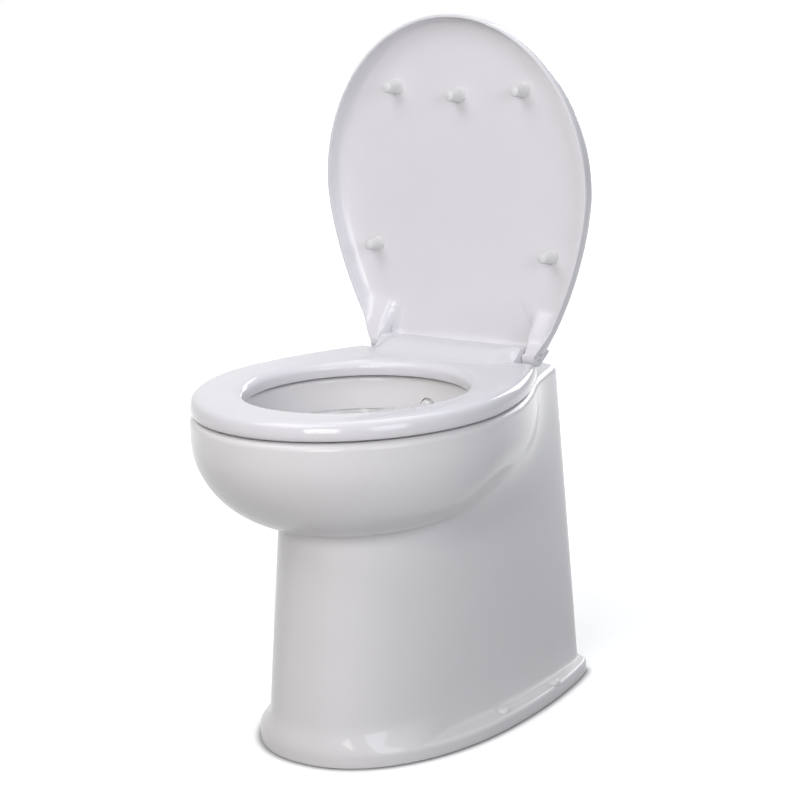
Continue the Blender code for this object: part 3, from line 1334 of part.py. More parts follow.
def make_discharge():
    """The swivelling elbow on the pump's port, and the rubber valve inside the port."""
    sleeve_inner = PORT_RADIUS + 2 * TOUCH_GAP
    start_z = PORT_TOP_Z + TOUCH_GAP
    bend_z = start_z + SWIVEL_LEG
    route = [(0.0, PORT_Y, start_z + PUMP_WALL / 2), (0.0, PORT_Y, bend_z)]
    bend = arc((PORT_Y + SWIVEL_BEND, bend_z), SWIVEL_BEND, 180, 90, ELBOW_STEPS)
    route += [(0.0, y, z) for y, z in bend[1:]]
    end_y = PORT_Y + DISCHARGE_REACH
    end_z = bend_z + SWIVEL_BEND
    route.append((0.0, end_y, end_z))
    elbow = tube("discharge_elbow", route, DISCHARGE_RADIUS, PIPE_SIDES)
    skirt_depth = PORT_TOP_RISE - PUMP_RADIUS - SWIVEL_BEND / 4
    cap_radius = sleeve_inner + PUMP_WALL / 2
    cap = turned("swivel_cap", [
        (0.0, PUMP_WALL), (cap_radius, PUMP_WALL), (cap_radius, -skirt_depth),
        (sleeve_inner, -skirt_depth), (sleeve_inner, 0.0), (0.0, 0.0),
    ], (0.0, PORT_Y, start_z))
    join(elbow, cap)
    for index in range(BARB_COUNT):
        start = end_y - BARB_STEP - index * BARB_PITCH
        barb = cylinder("barb", DISCHARGE_RADIUS + BARB_STEP, BARB_PITCH / 2,
                        (0.0, start - BARB_PITCH / 4, end_z), "Y", SCREW_STEPS,
                        tip=DISCHARGE_RADIUS - BARB_STEP / 4)
        join(elbow, barb)
    longer = [(0.0, PORT_Y, start_z - OVERRUN), *route[1:-1], (0.0, end_y + OVERRUN, end_z)]
    cut(elbow, tube("discharge_bore", longer, DISCHARGE_BORE, PIPE_SIDES))
    elbow.data.transform(Matrix.Translation((0.0, -PORT_Y, -start_z)))
    elbow.location = (0.0, PORT_Y, start_z)
    finish(elbow, LOOKS["grey_plastic"])
    rim = PORT_BORE - TOUCH_GAP
    wall = VALVE_SLEEVE
    shoulder = -VALVE_LENGTH * 0.4
    foot = -VALVE_LENGTH * 0.8
    valve = turned("joker_valve", [
        (VALVE_LIP + wall, 0.0), (rim, shoulder), (rim, foot),
        (rim - wall, foot), (rim - wall, shoulder - wall / 4), (VALVE_LIP, 0.0),
    ], (0.0, PORT_Y, PORT_TOP_Z - TOUCH_GAP), steps=SMALL_STEPS)
    finish(valve, LOOKS["rubber"])


# Rinse water


def make_rinse():
    half = VALVE_BODY / 2
    centre = Vector((VALVE_X, VALVE_Y, VALVE_Z))
    body = box("solenoid_valve_body", (VALVE_BODY, VALVE_BODY, VALVE_BODY), centre)
    for word, direction in (("inlet", 1), ("outlet", -1)):
        length = SPIGOT_LENGTH + half
        join(body, cylinder(word, SPIGOT_RADIUS, length,
                            centre + Vector((0.0, direction * length / 2, 0.0)),
                            "Y", SCREW_STEPS))
        cut(body, cylinder(word + "_bore", SPIGOT_RADIUS / 2, length,
                           centre + Vector((0.0, direction * (half + length / 2), 0.0)),
                           "Y", SCREW_STEPS))
    seat_drop = VALVE_BODY / 3
    cut(body, cylinder("plunger_well", GUIDE_RADIUS, 2 * seat_drop,
                       centre + Vector((0.0, 0.0, half)), steps=SMALL_STEPS))
    finish(body, LOOKS["black_plastic"], 0.0)
    coil_foot = VALVE_Z + half + TOUCH_GAP
    roof = COIL_HEIGHT * 0.90
    coil = turned("solenoid_coil", [
        (0.0, COIL_HEIGHT), (COIL_RADIUS * 0.8, COIL_HEIGHT), (COIL_RADIUS, COIL_HEIGHT * 0.92),
        (COIL_RADIUS, 0.0), (GUIDE_RADIUS, 0.0), (GUIDE_RADIUS, roof), (0.0, roof),
    ], (VALVE_X, VALVE_Y, coil_foot), steps=SMALL_STEPS)
    finish(coil, LOOKS["coil_plastic"])
    plunger_foot = VALVE_Z + half - seat_drop + TOUCH_GAP
    plunger_top = plunger_foot + PLUNGER_LENGTH
    plunger = cylinder("solenoid_plunger", PLUNGER_RADIUS, PLUNGER_LENGTH,
                       (VALVE_X, VALVE_Y, (plunger_foot + plunger_top) / 2), steps=SCREW_STEPS)
    finish(plunger, LOOKS["steel"])
    spring_foot = plunger_top + TOUCH_GAP + SPRING_WIRE
    spring_top = coil_foot + roof - TOUCH_GAP - SPRING_WIRE
    count = SPRING_TURNS * 8
    route = []
    for index in range(count + 1):
        angle = 2 * math.pi * index / 8
        route.append((VALVE_X + SPRING_RADIUS * math.cos(angle),
                      VALVE_Y + SPRING_RADIUS * math.sin(angle),
                      mix(spring_foot, spring_top, index / count)))
    spring = tube("plunger_spring", route, SPRING_WIRE, 0)
    finish(spring, LOOKS["steel"])
    make_bracket(centre, half)
    make_nozzle()


def make_bracket(centre, half):
    """A bent strip from the floor tray up to the valve body."""
    strip_x = VALVE_X + half + TOUCH_GAP
    foot_z = TRAY_THICK + TOUCH_GAP
    outline = [
        (strip_x, VALVE_Z + half), (strip_x, foot_z + BRACKET_THICK),
        (strip_x - BRACKET_WIDTH, foot_z + BRACKET_THICK), (strip_x - BRACKET_WIDTH, foot_z),
        (strip_x + BRACKET_THICK, foot_z), (strip_x + BRACKET_THICK, VALVE_Z + half),
    ]
    bracket = extrusion("valve_bracket", outline, -BRACKET_WIDTH / 2, BRACKET_WIDTH / 2, "XY")
    bracket.matrix_world = (Matrix.Translation((0.0, centre.y, 0.0))
                            @ Matrix.Rotation(math.pi / 2, 4, "X"))
    return finish(bracket, LOOKS["steel"], 0.0)


def nozzle_wall_y():
    """Where the bowl's wall has its back face, at the nozzle's height."""
    return BOWL_Y + MOUTH_REAR + CHINA_WALL


def make_nozzle():
    wall_back = nozzle_wall_y()
    front = wall_back - CHINA_WALL - NOZZLE_HEAD
    flange_start = wall_back + TOUCH_GAP + GROMMET_WALL
    length = flange_start + NOZZLE_HEAD / 3 - front
    tail = length + SPIGOT_LENGTH
    nozzle = turned("rinse_nozzle", [
        (SPIGOT_RADIUS, tail), (SPIGOT_RADIUS, length),
        (NOZZLE_FLANGE, length), (NOZZLE_FLANGE, length - NOZZLE_HEAD / 3 + TOUCH_GAP),
        (NOZZLE_RADIUS, length - NOZZLE_HEAD / 3 + TOUCH_GAP), (NOZZLE_RADIUS, NOZZLE_HEAD / 4),
        (NOZZLE_RADIUS * 0.8, 0.0), (SPIGOT_RADIUS / 2, 0.0), (SPIGOT_RADIUS / 2, tail),
    ], (0.0, front, NOZZLE_Z), "Y", SMALL_STEPS)
    finish(nozzle, LOOKS["hinge_plastic"])
    inner = NOZZLE_RADIUS + TOUCH_GAP
    outer = NOZZLE_RADIUS + GROMMET_WALL
    grommet = turned("nozzle_grommet", [
        (NOZZLE_FLANGE, GROMMET_WALL), (NOZZLE_FLANGE, 0.0), (outer, 0.0),
        (outer, -CHINA_WALL * 0.8), (inner, -CHINA_WALL * 0.8), (inner, GROMMET_WALL),
    ], (0.0, wall_back + TOUCH_GAP, NOZZLE_Z), "Y", SMALL_STEPS)
    finish(grommet, LOOKS["bumper"])
    nozzle_end = front + tail
    start = (0.0, nozzle_end - SPIGOT_LENGTH + TOUCH_GAP, NOZZLE_Z)
    end = (VALVE_X, VALVE_Y - VALVE_BODY / 2 - TOUCH_GAP, VALVE_Z)
    bend = HOSE_BEND
    straight = SPIGOT_LENGTH * 1.25
    top_y = start[1] + straight
    low_y = end[1] - straight - bend
    fall = NOZZLE_Z - VALVE_Z - 2 * bend
    half_turn_share = 1.0 - math.sqrt(0.5)
    route = smooth_route([
        start,
        (0.0, start[1] + SPIGOT_LENGTH, NOZZLE_Z),
        (0.0, top_y, NOZZLE_Z),
        (VALVE_X * 0.03, top_y + bend * (1.0 - half_turn_share), NOZZLE_Z - bend * half_turn_share),
        (VALVE_X * 0.14, top_y + bend, NOZZLE_Z - bend),
        (VALVE_X * 0.50, mix(top_y + bend, low_y, 0.12), NOZZLE_Z - bend - fall * 0.34),
        (VALVE_X * 0.86, mix(top_y + bend, low_y, 0.60), NOZZLE_Z - bend - fall * 0.70),
        (VALVE_X, low_y, VALVE_Z + bend),
        (VALVE_X, low_y + bend * half_turn_share, VALVE_Z + bend * half_turn_share),
        (VALVE_X, low_y + bend, VALVE_Z),
        (VALVE_X, end[1] - SPIGOT_LENGTH, VALVE_Z),
        end,
    ], 2)
    hose = pipe("rinse_hose", route, HOSE_RADIUS, HOSE_BORE, HOSE_SIDES)
    finish(hose, LOOKS["hose"])


clear_scene()
PARTS = collection(PART_NAME)
CUTTERS = collection("cutters")
LOOKS = {
    "china": material("vitreous_china", "ECEBEA", 0.08),
    "seat": material("seat_thermoset", "F0EFEF", 0.12),
    "lid": material("lid_thermoset", "EEEDED", 0.16),
    "bumper": material("bumper_elastomer", "E2E2E2", 0.45),
    "white_plastic": material("cap_polypropylene", "EDEDEB", 0.35),
    "hinge_plastic": material("hinge_acetal", "E9E9E7", 0.30),
    "grey_plastic": material("outlet_polypropylene", "8C8F92", 0.45),
    "black_plastic": material("pump_nylon", "26282A", 0.45),
    "coil_plastic": material("coil_resin", "2B2F38", 0.40),
    "motor_paint": material("motor_enamel", "D9DADB", 0.35),
    "aluminium": material("plate_aluminium", "B9BCC0", 0.40, 1.0),
    "steel": material("stainless_steel", "C9CACC", 0.28, 1.0),
    "copper": material("rotor_winding", "9A5B36", 0.45, 1.0),
    "rubber": material("nitrile_rubber", "1E1E1F", 0.70),
    "hose": material("hose_pvc", "D5D8D6", 0.35),
}
make_china()
make_fixings()
make_seat()
make_seat_bumpers()
make_lid()
make_lid_bumpers()
make_hinges()
make_outlet()
make_pump()
make_rotor()
make_motor()
make_cradle()
make_tray()
make_discharge()
make_rinse()
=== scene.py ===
"""Looks of an electric marine toilet: glazed china, moulded seat and lid, and the pump in its base."""

import logging
import math
from dataclasses import dataclass
from enum import Enum
from typing import Callable, Sequence

import bmesh
import bpy
import numpy as np
from mathutils import Matrix, Vector


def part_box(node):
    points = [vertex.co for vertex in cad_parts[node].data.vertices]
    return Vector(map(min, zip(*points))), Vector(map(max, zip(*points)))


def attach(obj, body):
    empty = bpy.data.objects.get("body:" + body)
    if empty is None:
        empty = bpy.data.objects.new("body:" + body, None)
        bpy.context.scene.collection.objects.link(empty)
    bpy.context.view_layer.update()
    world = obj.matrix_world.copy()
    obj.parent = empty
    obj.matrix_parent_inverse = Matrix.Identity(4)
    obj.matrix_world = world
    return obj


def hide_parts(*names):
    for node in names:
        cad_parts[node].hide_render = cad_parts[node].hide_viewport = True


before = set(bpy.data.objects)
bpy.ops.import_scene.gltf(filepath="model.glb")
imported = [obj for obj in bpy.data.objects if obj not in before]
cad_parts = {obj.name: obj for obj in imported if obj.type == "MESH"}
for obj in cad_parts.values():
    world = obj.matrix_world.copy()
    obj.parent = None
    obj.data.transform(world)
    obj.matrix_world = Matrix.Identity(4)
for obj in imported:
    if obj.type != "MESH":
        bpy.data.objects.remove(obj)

LOG = logging.getLogger("marine_toilet")

# Places that several sub-assemblies share, in metres
HINGE_Y = 0.146
HINGE_Z = 0.420
WIDEST = 0.195
BOWL_Y = HINGE_Y - WIDEST
RIM_Z = 0.394
REAR_REACH = 0.297
SUMP_SHIFT = 0.034
SUMP_Y = BOWL_Y + SUMP_SHIFT
POST_X = 0.0775
PIN_BORE = 0.0044
STUD_BORE = 0.0042
GAP = 0.0003
OVERRUN = 0.004
WELD = 0.00001
ORIGIN = (0.0, 0.0, 0.0)

Piece = bpy.types.Object
Tree = bpy.types.NodeTree
Point = tuple[float, float, float]
Profile = Sequence[tuple[float, float]]


class Axis(Enum):
    """The way a turned piece's axis points, as the turn that brings +Z there."""

    X = (0.0, math.pi / 2, 0.0)
    Y = (-math.pi / 2, 0.0, 0.0)
    Z = (0.0, 0.0, 0.0)


class Cut(Enum):
    """What a tool body does to the piece it meets."""

    AWAY = "DIFFERENCE"
    TOGETHER = "UNION"


# Finishes


def linear(hex_colour: str) -> tuple[float, float, float, float]:
    """Turns an sRGB hex colour into the linear values that a shader takes.

    Args:
        hex_colour: Six hex digits.

    Returns:
        Red, green, blue and alpha.
    """
    values = []
    for start in (0, 2, 4):
        value = int(hex_colour[start:start + 2], 16) / 255
        values.append(value / 12.92 if value <= 0.04045 else ((value + 0.055) / 1.055) ** 2.4)
    return (values[0], values[1], values[2], 1.0)


def add_node(tree: Tree, kind: str, links: dict | None = None, **settings) -> bpy.types.Node:
    """Adds a node with its settings and its incoming links.

    Args:
        tree: The node tree that gets the node.
        kind: The node's Blender type.
        links: Input name or index to an output socket, or to a constant value.
        settings: Attributes of the node itself.

    Returns:
        The new node.
    """
    node = tree.nodes.new(kind)
    for name, value in settings.items():
        setattr(node, name, value)
    for name, source in (links or {}).items():
        if isinstance(source, bpy.types.NodeSocket):
            tree.links.new(source, node.inputs[name])
        else:
            node.inputs[name].default_value = source
    return node


def cycles_per_metre(millimetres: float) -> float:
    """The noise scale whose features are about this many millimetres across."""
    return 1000.0 / millimetres


@dataclass(frozen=True)
class Finish:
    """A surface: a base colour that varies a little, a roughness that varies a little, and a fine relief."""

    name: str
    slot: str
    colour: str
    shade: str
    roughness: float
    spread: float
    patch_mm: float
    grain_mm: float
    relief_mm: float
    metallic: float = 0.0
    ior: float = 1.5
    coat: float = 0.0
    coat_roughness: float = 0.03
    stretch: Point = (1.0, 1.0, 1.0)

    def material(self) -> bpy.types.Material:
        """Makes the material, or gives the one made before.

        Returns:
            The material.
        """
        found = bpy.data.materials.get(self.name)
        if found:
            return found
        made = bpy.data.materials.new(self.name)
        made.use_nodes = True
        tree = made.node_tree
        tree.nodes.clear()
        place = add_node(tree, "ShaderNodeTexCoord")
        stretched = add_node(tree, "ShaderNodeMapping",
                             {"Vector": place.outputs["Object"], "Scale": self.stretch})
        patches = add_node(tree, "ShaderNodeTexNoise",
                           {"Vector": stretched.outputs[0], "Scale": cycles_per_metre(self.patch_mm),
                            "Detail": 2.0})
        tint = add_node(tree, "ShaderNodeMix", data_type="RGBA")
        tree.links.new(patches.outputs[0], tint.inputs[0])
        tint.inputs[6].default_value = linear(self.colour)
        tint.inputs[7].default_value = linear(self.shade)
        rough = add_node(tree, "ShaderNodeMapRange",
                         {"Value": patches.outputs[0], "To Min": self.roughness - self.spread,
                          "To Max": self.roughness + self.spread})
        grain = add_node(tree, "ShaderNodeTexNoise",
                         {"Vector": stretched.outputs[0], "Scale": cycles_per_metre(self.grain_mm),
                          "Detail": 3.0})
        relief = add_node(tree, "ShaderNodeBump",
                          {"Height": grain.outputs[0], "Distance": self.relief_mm / 1000.0,
                           "Strength": 1.0})
        shader = add_node(tree, "ShaderNodeBsdfPrincipled",
                          {"Base Color": tint.outputs[2], "Roughness": rough.outputs[0],
                           "Normal": relief.outputs[0], "Metallic": self.metallic, "IOR": self.ior,
                           "Coat Weight": self.coat, "Coat Roughness": self.coat_roughness})
        add_node(tree, "ShaderNodeOutputMaterial", {"Surface": shader.outputs[0]})
        return made


# Vitreous china under a clear glaze: an even white body with a wet, slightly wavy gloss
GLAZED_CHINA = Finish("glazed_vitreous_china", "china", "EEEDED", "E9E8E8", 0.35, 0.03, 90.0, 14.0, 0.02,
                      ior=1.2, coat=0.5, coat_roughness=0.04)
# The body where the glaze stops, inside the skirt: dry, warm and slightly grainy
BISCUIT = Finish("unglazed_china_body", "china", "D9D3C8", "CFC8BC", 0.85, 0.05, 25.0, 0.9, 0.05)
# Compression-moulded urea thermoset: dense white with a polished, nearly flat gloss
THERMOSET = Finish("moulded_urea_thermoset", "seat_plastic", "E9E8EB", "E5E4E7", 0.11, 0.02, 70.0, 6.0, 0.004)
# Soft thermoplastic elastomer: white, with a dull skin that takes dust
ELASTOMER = Finish("moulded_white_elastomer", "white_rubber", "E9E9E8", "DEDEDD", 0.48, 0.06, 8.0, 0.6, 0.01)
# Injection-moulded polypropylene cap: white with a satin skin
CAP_PLASTIC = Finish("moulded_white_polypropylene", "cap_plastic", "EFEFED", "E7E7E5", 0.33, 0.05, 12.0, 1.2,
                     0.006)
# Injection-moulded grey polypropylene: satin, faintly mottled where the plastic flowed
GREY_PLASTIC = Finish("moulded_grey_polypropylene", "grey_plastic", "8E9194", "84878A", 0.42, 0.07, 18.0,
                      0.8, 0.012)
# Glass-filled nylon: near black, with a dry fibrous sheen
NYLON = Finish("glass_filled_nylon", "black_plastic", "26282A", "303235", 0.46, 0.08, 10.0, 0.5, 0.02)
# Epoxy-moulded coil: blue-black and smoother than the nylon
COIL_RESIN = Finish("moulded_epoxy_coil", "black_plastic", "2B2F38", "333843", 0.34, 0.05, 9.0, 0.7, 0.008)
# Nitrile rubber: dull black with a fine moulded bloom
NITRILE = Finish("moulded_nitrile_rubber", "black_rubber", "1E1E1F", "292929", 0.72, 0.08, 7.0, 0.5, 0.02)
# Extruded PVC hose: milky white, satin
HOSE_PVC = Finish("extruded_pvc_hose", "hose_plastic", "D5D8D6", "CBCFCC", 0.34, 0.05, 20.0, 1.5, 0.008)
# Baked enamel on a drawn steel case: light grey-white with a fine orange peel
MOTOR_ENAMEL = Finish("baked_motor_enamel", "motor_enamel", "D9DADB", "D0D1D3", 0.32, 0.05, 30.0, 1.6, 0.012,
                      coat=0.4)
# Brushed stainless steel: lines about half a millimetre apart, drawn coarse enough to show
BRUSHED_STEEL = Finish("brushed_stainless_steel", "stainless_steel", "C6C7C9", "B3B4B7", 0.30, 0.08, 6.0,
                       0.5, 0.006, metallic=1.0, stretch=(1.0, 0.06, 1.0))
# Cast and faced aluminium: pale grey with a fine cast skin
CAST_ALUMINIUM = Finish("cast_aluminium", "cast_aluminium", "B9BCC0", "A8ABB0", 0.42, 0.08, 5.0, 0.7, 0.03,
                        metallic=1.0)
# Lacquered copper winding: warm brown metal
LACQUERED_COPPER = Finish("lacquered_copper_winding", "rotor_winding", "A5622F", "87491F", 0.38, 0.08, 3.0,
                          0.6, 0.03, metallic=1.0)


# Outlines, as distances from the middle of the bowl along rays


def rays_round(corner: float, sides: int) -> np.ndarray:
    """Directions round the bowl from the front, closer together near two back corners.

    Args:
        corner: The angle of a back corner from straight back, in radians.
        sides: How many rays in all.

    Returns:
        An array of (x, y) unit vectors.
    """
    steps = np.linspace(0.0, 1.0, 20001)
    angles = math.pi - 2 * math.pi * steps
    nearness = np.exp(-((np.abs(angles) - corner) / math.radians(7)) ** 2)
    travel = np.cumsum(1.0 + 3.0 * nearness)
    travel = (travel - travel[0]) / (travel[-1] - travel[0])
    picked = np.interp(np.arange(sides) / sides, travel, angles)
    return np.stack([np.sin(picked), np.cos(picked)], axis=1)


@dataclass(frozen=True)
class Egg:
    """The outline of rim, seat, hole and lid: round in front of its widest place, narrower behind."""

    half: float
    front: float
    rear: float
    power: float = 1.6

    def reach(self, rays: np.ndarray) -> np.ndarray:
        """How far each ray goes to the outline.

        Args:
            rays: Unit vectors from the middle of the bowl.

        Returns:
            One distance for each ray.
        """
        behind = rays[:, 1] > 0.0
        power = np.where(behind, self.power, 2.0)
        along = np.where(behind, self.rear, self.front)
        total = np.abs(rays[:, 0] / self.half) ** power + np.abs(rays[:, 1] / along) ** power
        return total ** (-1.0 / power)


@dataclass(frozen=True)
class Dee:
    """A skirt section: round in front, tapered sides and a flat back with rounded corners."""

    half: float
    widest: float
    front: float
    front_power: float
    corner: float
    back: float
    roundness: float = 34.0

    def reach(self, rays: np.ndarray, inset: float = 0.0) -> np.ndarray:
        """How far each ray goes to the outline, or to one drawn inside it.

        Args:
            rays: Unit vectors from the middle of the bowl.
            inset: How far inside the outline.

        Returns:
            One distance for each ray.
        """
        widest_y = HINGE_Y - self.widest
        rear = (self.back + self.widest) / math.sqrt(1.0 - (self.corner / self.half) ** 2)
        near = np.zeros(len(rays))
        far = np.full(len(rays), 0.7)
        for _ in range(36):
            middle = (near + far) / 2
            x = rays[:, 0] * middle
            y = BOWL_Y + rays[:, 1] * middle - widest_y
            behind = y > 0.0
            power = np.where(behind, 2.0, self.front_power)
            along = np.where(behind, rear, self.front - self.widest) - inset
            inside = np.abs(x / (self.half - inset)) ** power + np.abs(y / along) ** power < 1.0
            near = np.where(inside, middle, near)
            far = np.where(inside, far, middle)
        back = np.where(rays[:, 1] > 0.0, rays[:, 1], 1.0)
        flat = (HINGE_Y + self.back - inset - BOWL_Y) / back
        joined = (near ** -self.roundness + flat ** -self.roundness) ** (-1.0 / self.roundness)
        return np.where(rays[:, 1] > 0.0, joined, near)


def section(rays: np.ndarray, reach: np.ndarray | float, height: float, shift: float = 0.0) -> np.ndarray:
    """Points of one level section.

    Args:
        rays: Unit vectors from the middle of the bowl.
        reach: Distance along each ray.
        height: The section's height.
        shift: How far the section's middle lies behind the bowl's.

    Returns:
        An array of points.
    """
    level = np.full(len(rays), height)
    return np.stack([rays[:, 0] * reach, BOWL_Y + shift + rays[:, 1] * reach, level], axis=1)


def through(points: Sequence[Sequence[float]], steps: int) -> np.ndarray:
    """A smooth curve that passes through rows of numbers.

    Args:
        points: The rows, in order.
        steps: How many pieces each stretch gets.

    Returns:
        The rows on the curve.
    """
    rows = np.array(points, float)
    rows = np.vstack([2 * rows[0] - rows[1], rows, 2 * rows[-1] - rows[-2]])
    curve = []
    for before, start, end, after in zip(rows, rows[1:], rows[2:], rows[3:]):
        for share in np.arange(steps) / steps:
            curve.append(0.5 * (2 * start + (end - before) * share
                                + (2 * before - 5 * start + 4 * end - after) * share ** 2
                                + (3 * start - before - 3 * end + after) * share ** 3))
    curve.append(rows[-2])
    return np.array(curve)


def smooth_step(value: np.ndarray, start: float, end: float) -> np.ndarray:
    """Rises smoothly from 0 at one value to 1 at another."""
    share = np.clip((value - start) / (end - start), 0.0, 1.0)
    return share * share * (3.0 - 2.0 * share)


def quarter(radius: float, degrees: Sequence[float]) -> list[tuple[float, float]]:
    """Steps of a quarter round.

    Args:
        radius: Its radius.
        degrees: How far each step has turned.

    Returns:
        For each step, how far it still is from the round's start and how far it has come in.
    """
    return [(radius * (1 - math.sin(turn)), radius * (1 - math.cos(turn))) for turn in np.radians(degrees)]


def arc(middle: tuple[float, float], radius: float, start: float, end: float,
        steps: int) -> list[tuple[float, float]]:
    """Points on an arc.

    Args:
        middle: Its middle.
        radius: Its radius.
        start: The angle of its first point, in degrees.
        end: The angle of its last point.
        steps: How many points it has.

    Returns:
        The points.
    """
    return [(middle[0] + radius * math.cos(turn), middle[1] + radius * math.sin(turn))
            for turn in np.radians(np.linspace(start, end, steps))]


def barrel(foot: float, top: float, outer: float, lip: float = 0.0, inner: float = 0.0) -> Profile:
    """The profile of a round bar or tube.

    Args:
        foot: Where it starts along its axis.
        top: Where it ends.
        outer: Its radius.
        lip: How far its outer edges are broken.
        inner: The radius of its bore, or 0 for a bar.

    Returns:
        (radius, height) points for a turned piece.
    """
    side = [(outer, top), (outer, foot)]
    if lip:
        side = [(outer - lip, top), (outer, top - lip), (outer, foot + lip), (outer - lip, foot)]
    return [*side, (inner, foot), (inner, top)] if inner else [(0.0, top), *side, (0.0, foot)]


# Modelling by hand


def deselect() -> None:
    """Leaves edit mode and clears the selection."""
    if bpy.context.object and bpy.context.object.mode != "OBJECT":
        bpy.ops.object.mode_set(mode="OBJECT")
    bpy.ops.object.select_all(action="DESELECT")


def pick(piece: Piece) -> None:
    """Makes a piece the one that operators act on."""
    deselect()
    piece.select_set(True)
    bpy.context.view_layer.objects.active = piece


def settle(piece: Piece, name: str) -> Piece:
    """Names a new piece and brings its place into its mesh.

    Args:
        piece: The piece.
        name: Its name.

    Returns:
        The same piece, at the origin.
    """
    pick(piece)
    bpy.ops.object.transform_apply(location=True, rotation=True, scale=True)
    piece.name = name
    piece.data.name = name
    return piece


def moved(piece: Piece, points: np.ndarray, before: dict) -> dict:
    """Puts the selected loop of a piece in edit mode on the next section.

    Args:
        piece: The piece in edit mode.
        points: The section's points, in ray order.
        before: Where each ray's point was, to its number.

    Returns:
        Where each ray's point is now.
    """
    mesh = bmesh.from_edit_mesh(piece.data)
    for vert in mesh.verts:
        if vert.select:
            vert.co = points[before[tuple(vert.co)]]
    bmesh.update_edit_mesh(piece.data)
    return {tuple(Vector(point)): number for number, point in enumerate(points)}


def lofted(name: str, sections: Sequence[np.ndarray], ring: bool = False) -> Piece:
    """Draws the first section, and extrudes it from section to section.

    Args:
        name: The piece's name.
        sections: Arrays of equally many points.
        ring: True to join the last section to the first, False to close both ends.

    Returns:
        The piece, closed and facing out.
    """
    deselect()
    bpy.ops.mesh.primitive_circle_add(vertices=len(sections[0]), radius=1.0)
    piece = bpy.context.object
    bpy.ops.object.mode_set(mode="EDIT")
    start = {tuple(vert.co): number for number, vert in enumerate(piece.data.vertices)}
    places = moved(piece, sections[0], start)
    if not ring:
        bpy.ops.mesh.edge_face_add()
    for points in sections[1:]:
        bpy.ops.mesh.extrude_region_move()
        places = moved(piece, points, places)
    if ring:
        bpy.ops.mesh.select_all(action="DESELECT")
        bpy.ops.mesh.select_non_manifold()
        bpy.ops.mesh.bridge_edge_loops()
    bpy.ops.mesh.select_all(action="SELECT")
    bpy.ops.mesh.remove_doubles(threshold=WELD)
    bpy.ops.mesh.normals_make_consistent(inside=False)
    bpy.ops.object.mode_set(mode="OBJECT")
    return settle(piece, name)


def turned(name: str, profile: Profile, place: Point, axis: Axis = Axis.Z, steps: int = 64) -> Piece:
    """Draws a profile point by point and spins it round.

    Args:
        name: The piece's name.
        profile: (radius, height) points, from axis to axis or round a closed line.
        place: Where the profile's zero stands.
        axis: The way the piece's axis points.
        steps: Sides of the turned piece.

    Returns:
        The piece, closed and facing out.
    """
    deselect()
    bpy.ops.mesh.primitive_plane_add(size=GAP)
    piece = bpy.context.object
    bpy.ops.object.mode_set(mode="EDIT")
    bpy.ops.mesh.merge(type="CENTER")
    points = list(profile)
    if points[0][0] > 0.0:
        points.append(points[0])
    bpy.ops.transform.translate(value=(points[0][0], 0.0, points[0][1]))
    for (radius, height), (next_radius, next_height) in zip(points, points[1:]):
        step = (next_radius - radius, 0.0, next_height - height)
        bpy.ops.mesh.extrude_region_move(TRANSFORM_OT_translate={"value": step})
    bpy.ops.mesh.select_all(action="SELECT")
    bpy.ops.mesh.spin(steps=steps, angle=2 * math.pi, center=(0.0, 0.0, 0.0), axis=(0.0, 0.0, 1.0))
    bpy.ops.mesh.select_all(action="SELECT")
    bpy.ops.mesh.remove_doubles(threshold=WELD)
    bpy.ops.mesh.normals_make_consistent(inside=False)
    bpy.ops.object.mode_set(mode="OBJECT")
    piece.rotation_euler = axis.value
    piece.location = place
    return settle(piece, name)


def swept(name: str, route: Sequence[Sequence[float]], radii: float | Sequence[float],
          sides: int = 48) -> Piece:
    """Carries a round section along a route.

    Args:
        name: The piece's name.
        route: Points along the middle of the piece.
        radii: The section's radius at each point, or one radius for all.
        sides: Sides of the section.

    Returns:
        The piece, closed at both ends.
    """
    points = np.array(route, float)
    along = np.gradient(points, axis=0)
    along /= np.linalg.norm(along, axis=1, keepdims=True)
    side = np.cross(along[0], np.eye(3)[int(np.argmin(np.abs(along[0])))])
    turns = np.linspace(0.0, 2 * math.pi, sides, endpoint=False)[:, None]
    sections = []
    for point, way, radius in zip(points, along, np.broadcast_to(radii, len(points))):
        side = side - way * np.dot(side, way)
        side /= np.linalg.norm(side)
        around = np.cos(turns) * side + np.sin(turns) * np.cross(way, side)
        sections.append(point + radius * around)
    return lofted(name, sections)


def block(name: str, size: Point, place: Point, edge: float = 0.0, segments: int = 4) -> Piece:
    """A box with rounded edges.

    Args:
        name: The piece's name.
        size: Its width, depth and height.
        place: Its middle.
        edge: How far the rounding reaches along each face.
        segments: Steps of the rounding.

    Returns:
        The piece.
    """
    deselect()
    bpy.ops.mesh.primitive_cube_add(size=1.0, location=place)
    piece = bpy.context.object
    piece.scale = size
    settle(piece, name)
    if edge:
        bpy.ops.object.mode_set(mode="EDIT")
        bpy.ops.mesh.select_all(action="SELECT")
        bpy.ops.mesh.bevel(offset=edge, segments=segments, affect="EDGES")
        bpy.ops.object.mode_set(mode="OBJECT")
    return piece


def plate(name: str, outline: Profile, start: float, end: float,
          order: Callable[[float, float, float], Point]) -> Piece:
    """A flat outline with a thickness across it.

    Args:
        name: The piece's name.
        outline: The outline's points in its own plane.
        start: Where the thickness starts.
        end: Where it ends.
        order: Puts the two outline values and the thickness in x, y and z order.

    Returns:
        The piece, closed and facing out.
    """
    sections = [np.array([order(a, b, depth) for a, b in outline]) for depth in (start, end)]
    return lofted(name, sections)


